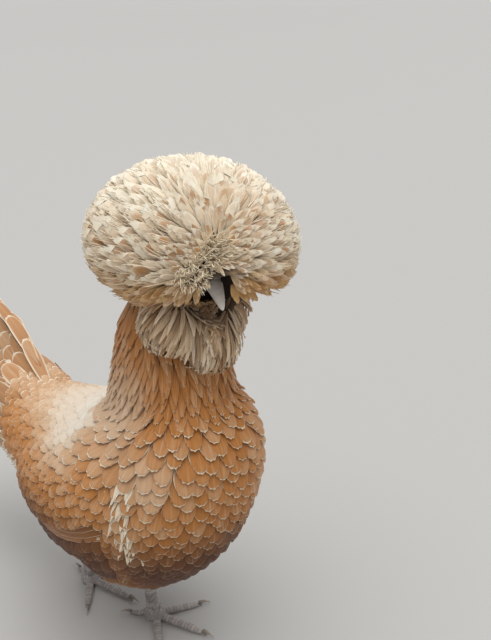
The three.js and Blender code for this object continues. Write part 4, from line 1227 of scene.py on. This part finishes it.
for side, sign in (("left", 1), ("right", -1)):
    leg = legPlan[side]
    toeNames = [f"toe_{toe}_{side}" for toe in legPlan["toes"]]
    names = [f"foot_pad_{side}", f"shank_{side}"] + toeNames
    form = Surface(*remeshed(*solidOf(names, (), 0.1 * mm), legPlan["voxel"]), 3)
    drawing = toDrawing(form.points)
    x0, y0 = leg["at"]
    foot, hock = np.array([x0, y0 + 2, 5.5]), np.array([x0 + leg["hockOut"] * sign, y0 + leg["hockBack"], 84])
    up = unit(hock - foot)
    height = (drawing - foot) @ up
    radial = drawing - foot - height[:, None] * up
    heading, _ = onGround(sign * leg["turnOut"])
    lateral = radial @ unit(np.cross(up, heading))
    column = (lateral > 0) * 0.5
    rowAt = height / legPlan["shankPitch"] + column
    plate, groove = plates(rowAt + 0.03 * lateral**2, 0.13)
    frontGroove = np.maximum(groove, np.clip(1 - np.abs(lateral) / 0.45, 0, 1))
    around = np.arctan2(lateral, radial @ heading) * 5.5 / 2.6
    ringAt = height / legPlan["ringPitch"]
    small, ringGroove = plates(ringAt, 0.16)
    smallGroove = np.maximum(ringGroove, plates(around + 0.5 * (np.floor(ringAt) % 2), 0.16)[1])
    front = ramp(unit(radial) @ heading, 0.15, 0.35)
    relief = front * (plate - frontGroove) + (1 - front) * (0.4 * small - 0.7 * smallGroove)
    grooves = front * frontGroove + (1 - front) * smallGroove
    chances = np.random.default_rng(7).random(400)
    tones = chances[(np.floor(rowAt) * 2 + column * 2).astype(int) % 400]
    onToe = np.zeros(len(drawing))
    top = ramp(form.normals[:, 2], -0.1, 0.3)
    for angle, length, root in legPlan["toes"].values():
        way, aside = [(drawing - (x0, y0, 0)) @ axis for axis in onGround(sign * (leg["turnOut"] + angle))]
        on = (way > 7) & (np.abs(aside) < root + 1.2) & (drawing[:, 2] < 11)
        toeAt = -way / legPlan["toePitch"]
        toePlate, toeGroove = plates(toeAt, 0.15)
        beads = np.maximum(*(plates(along / legPlan["beadPitch"], 0.2)[1] for along in (way, aside)))
        relief = np.where(on, top * (toePlate - toeGroove) + (1 - top) * -0.5 * beads, relief)
        grooves = np.where(on, top * toeGroove + (1 - top) * 0.5 * beads, grooves)
        tones = np.where(on, 0.5 + 0.4 * np.sin(np.floor(toeAt) * 2.3), tones)
        onToe = np.where(on, 1.0, onToe)
    points = form.points + form.normals * (relief * legPlan["relief"] * ramp(drawing[:, 2], 0.3, 1.5) * mm)[:, None]
    points[:, 2] = np.maximum(points[:, 2], 0)
    onToe = np.maximum(onToe, 1 - ramp(drawing[:, 2], 4, 14))
    made = meshThing("leg_" + side, points, form.faces, {"groove": grooves, "tone": tones, "toe": onToe}, 180)
    print("leg_" + side, len(form.triangles), "triangles")
    addPiece(made, legMaterial, "leg", *names)

    points, faces, along = [], [], []
    shares = np.linspace(0, 1, clawPlan["rings"])
    for angle, length, root in legPlan["toes"].values():
        way, aside = onGround(sign * (leg["turnOut"] + angle))
        tip, thick = clawPlan["tip"], clawPlan["thick"] * root
        rings = []
        for t in shares:
            radius = thick + (tip - thick) * t**0.8
            droop = clawPlan["arch"] * math.sin(math.pi * t) - (thick - tip) * t**2
            reach = length - clawPlan["rooted"] + clawPlan["length"] * t
            centre = np.array([x0, y0, thick + 0.75 + droop]) + way * reach
            turns = 2 * math.pi * np.arange(clawPlan["sides"])[:, None] / clawPlan["sides"]
            rings.append(toScene(centre + radius * (aside * 0.8 * np.cos(turns) + (0, 0, 1) * np.sin(turns))))
        newPoints, newFaces = loft(rings)
        faces += [tuple(len(points) + i for i in f) for f in newFaces]
        points += newPoints.tolist()
        along += np.repeat(shares, clawPlan["sides"]).tolist()
    made = meshThing("claws_" + side, points, faces, {"along": along})
    addPiece(made, clawMaterial, "claw", *[f"claw_{toe}_{side}" for toe in legPlan["toes"]])


# Beak: two horn lofts with a ridge, a hooked tip and nostrils near the root

beakPlan = {
    "upper": (23, 6.6, 7.2), "lower": (18, 5.7, 4.0),  # length, half width, height
    "rooted": 6, "hook": 3.4, "narrowing": 0.35, "rings": 30, "sides": 25,
}
beakMaterial, nodes, shader = newMaterial("hornBeak", 0.42, 0.0, 0.45)
fine = grainOf(nodes, 350.0, 4.0)
base = nodes.attribute("along").step(0.05, 0.4).mix(colour(150, 138, 130), colour(252, 244, 234))
base = (fine.step(0.4, 0.75) * 0.3).mix(base, colour(186, 170, 158))
# painted shade: the nostril pits are painted near-black
paint(shader, (nodes.attribute("shadedHollow") * 0.85).mix(base, colour(34, 28, 26)), fine, 0.2)
for half, sign in (("upper", 1), ("lower", -1)):
    length, halfWidth, high = beakPlan[half]
    isUpper = float(half == "upper")
    rings, alongs, hollows = [], [], []
    for along in np.linspace(-beakPlan["rooted"], length, beakPlan["rings"]):
        t = max(along, 0) / length
        taper = 0.03 + 0.97 * math.sqrt(max(1 - t**1.7, 0))
        wide = halfWidth * taper * (1 - beakPlan["narrowing"] * t)
        droop = beakPlan["hook"] * (max(along, 0) / beakPlan["upper"][0]) ** 3
        ring = []
        for angle in np.linspace(0, math.pi, beakPlan["sides"]):
            out = math.cos(angle)
            pit = isUpper * bell(along, 3.4, 1.9) * bell(abs(out), 0.8, 0.16)
            swell = 1 - 0.3 * pit + 0.04 * bell(along, 3.6, 3.6)
            rise = high * taper * math.sin(angle) * (swell + isUpper * 0.04 * bell(out, 0, 0.16))
            ring.append(fromHead(wide * out * swell, along, sign * (0.15 + rise) - droop))
            hollows.append(pit)
        alongs += [t] * beakPlan["sides"]
        rings.append(ring[::sign])
    points, faces = loft(rings)
    hollows = np.array(hollows).reshape(beakPlan["rings"], -1)[:, ::sign]
    made = meshThing("horn_" + half, points, faces, {"along": alongs, "shadedHollow": hollows}, 50)
    addPiece(made, beakMaterial, "beak", "beak_" + half)


# Eyes: a clear dome over iris and pupil, inside a ring of dark skin

eyePlan = {"centre": (12.8, -12, 4), "aim": (9, 2.5, 0.5), "radius": 4.6, "rings": 30, "sides": 36}
lidPlan = {"reach": 4.15, "swell": 0.75, "out": 2.3, "rise": 0.6, "wide": 1.08, "high": 0.86, "beads": 10, "sides": 40}
eyeMaterial, nodes, shader = newMaterial("eye", 0.08, 0.0, 0.5)
shader.inputs["Coat Weight"].default_value = 1.0
angle = nodes.attribute("angle")
base = (grainOf(nodes, 1500.0, 2.0).step(0.35, 0.7) * 0.5).mix(colour(176, 84, 34), colour(112, 48, 20))
base = angle.step(0.66, 0.84).mix(base, colour(28, 18, 14))
paint(shader, angle.step(0.38, 0.34).mix(base, colour(8, 7, 8)))
lidMaterial, nodes, shader = newMaterial("faceSkin", 0.6, 0.0, 0.35)
space = nodes.node("ShaderNodeTexCoord", output="Object")
grains = nodes.node("ShaderNodeTexVoronoi", {}, {"Vector": space, "Scale": 1400.0})
paint(shader, grains.step(0.1, 0.6).mix(colour(66, 58, 58), colour(96, 84, 80)), grains, 0.4, 0.2 * mm)
for side, sign in (("left", 1), ("right", -1)):
    x, y, z = eyePlan["centre"]
    out, forward, up = eyePlan["aim"]
    centre = fromHead(sign * x, y, z)
    look = unit(fromHead(sign * (x + out), y + forward, z + up) - centre)
    first = unit(np.cross(look, (0, 0, 1)))
    second = np.cross(look, first)
    turn = np.linspace(0, 2 * math.pi, eyePlan["sides"], endpoint=False)[:, None]
    ring = first * np.cos(turn) + second * np.sin(turn)
    falls = np.linspace(0.02, math.pi - 0.02, eyePlan["rings"])
    rings = [centre + eyePlan["radius"] * mm * (look * math.cos(fall) + ring * math.sin(fall)) for fall in falls]
    points, faces = loft(rings)
    angles = {"angle": np.repeat(falls, eyePlan["sides"])}
    made = meshThing("eyeball_" + side, points, [f[::-1] for f in faces], angles, 180)
    addPiece(made, eyeMaterial, "eye", "eye_" + side)
    turn = np.linspace(0, 2 * math.pi, lidPlan["sides"], endpoint=False)[:, None]
    ring = first * np.cos(turn) * lidPlan["wide"] + second * np.sin(turn) * lidPlan["high"]
    points = []
    for bead in 2 * math.pi * np.arange(lidPlan["beads"]) / lidPlan["beads"]:
        lifted = look * (lidPlan["out"] + lidPlan["rise"] * math.sin(bead))
        points.append(centre + (lifted + ring * (lidPlan["reach"] + lidPlan["swell"] * math.cos(bead))) * mm)
    faces = ringFaces(lidPlan["beads"], lidPlan["sides"], True)
    made = meshThing("eyelid_" + side, np.concatenate(points), faces, None, 180)
    addPiece(made, lidMaterial, "face")
print("legs, beak and eyes are made")

size = {"cad": [list(corner) for corner in cadBox], "visual": [list(corner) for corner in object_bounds()]}
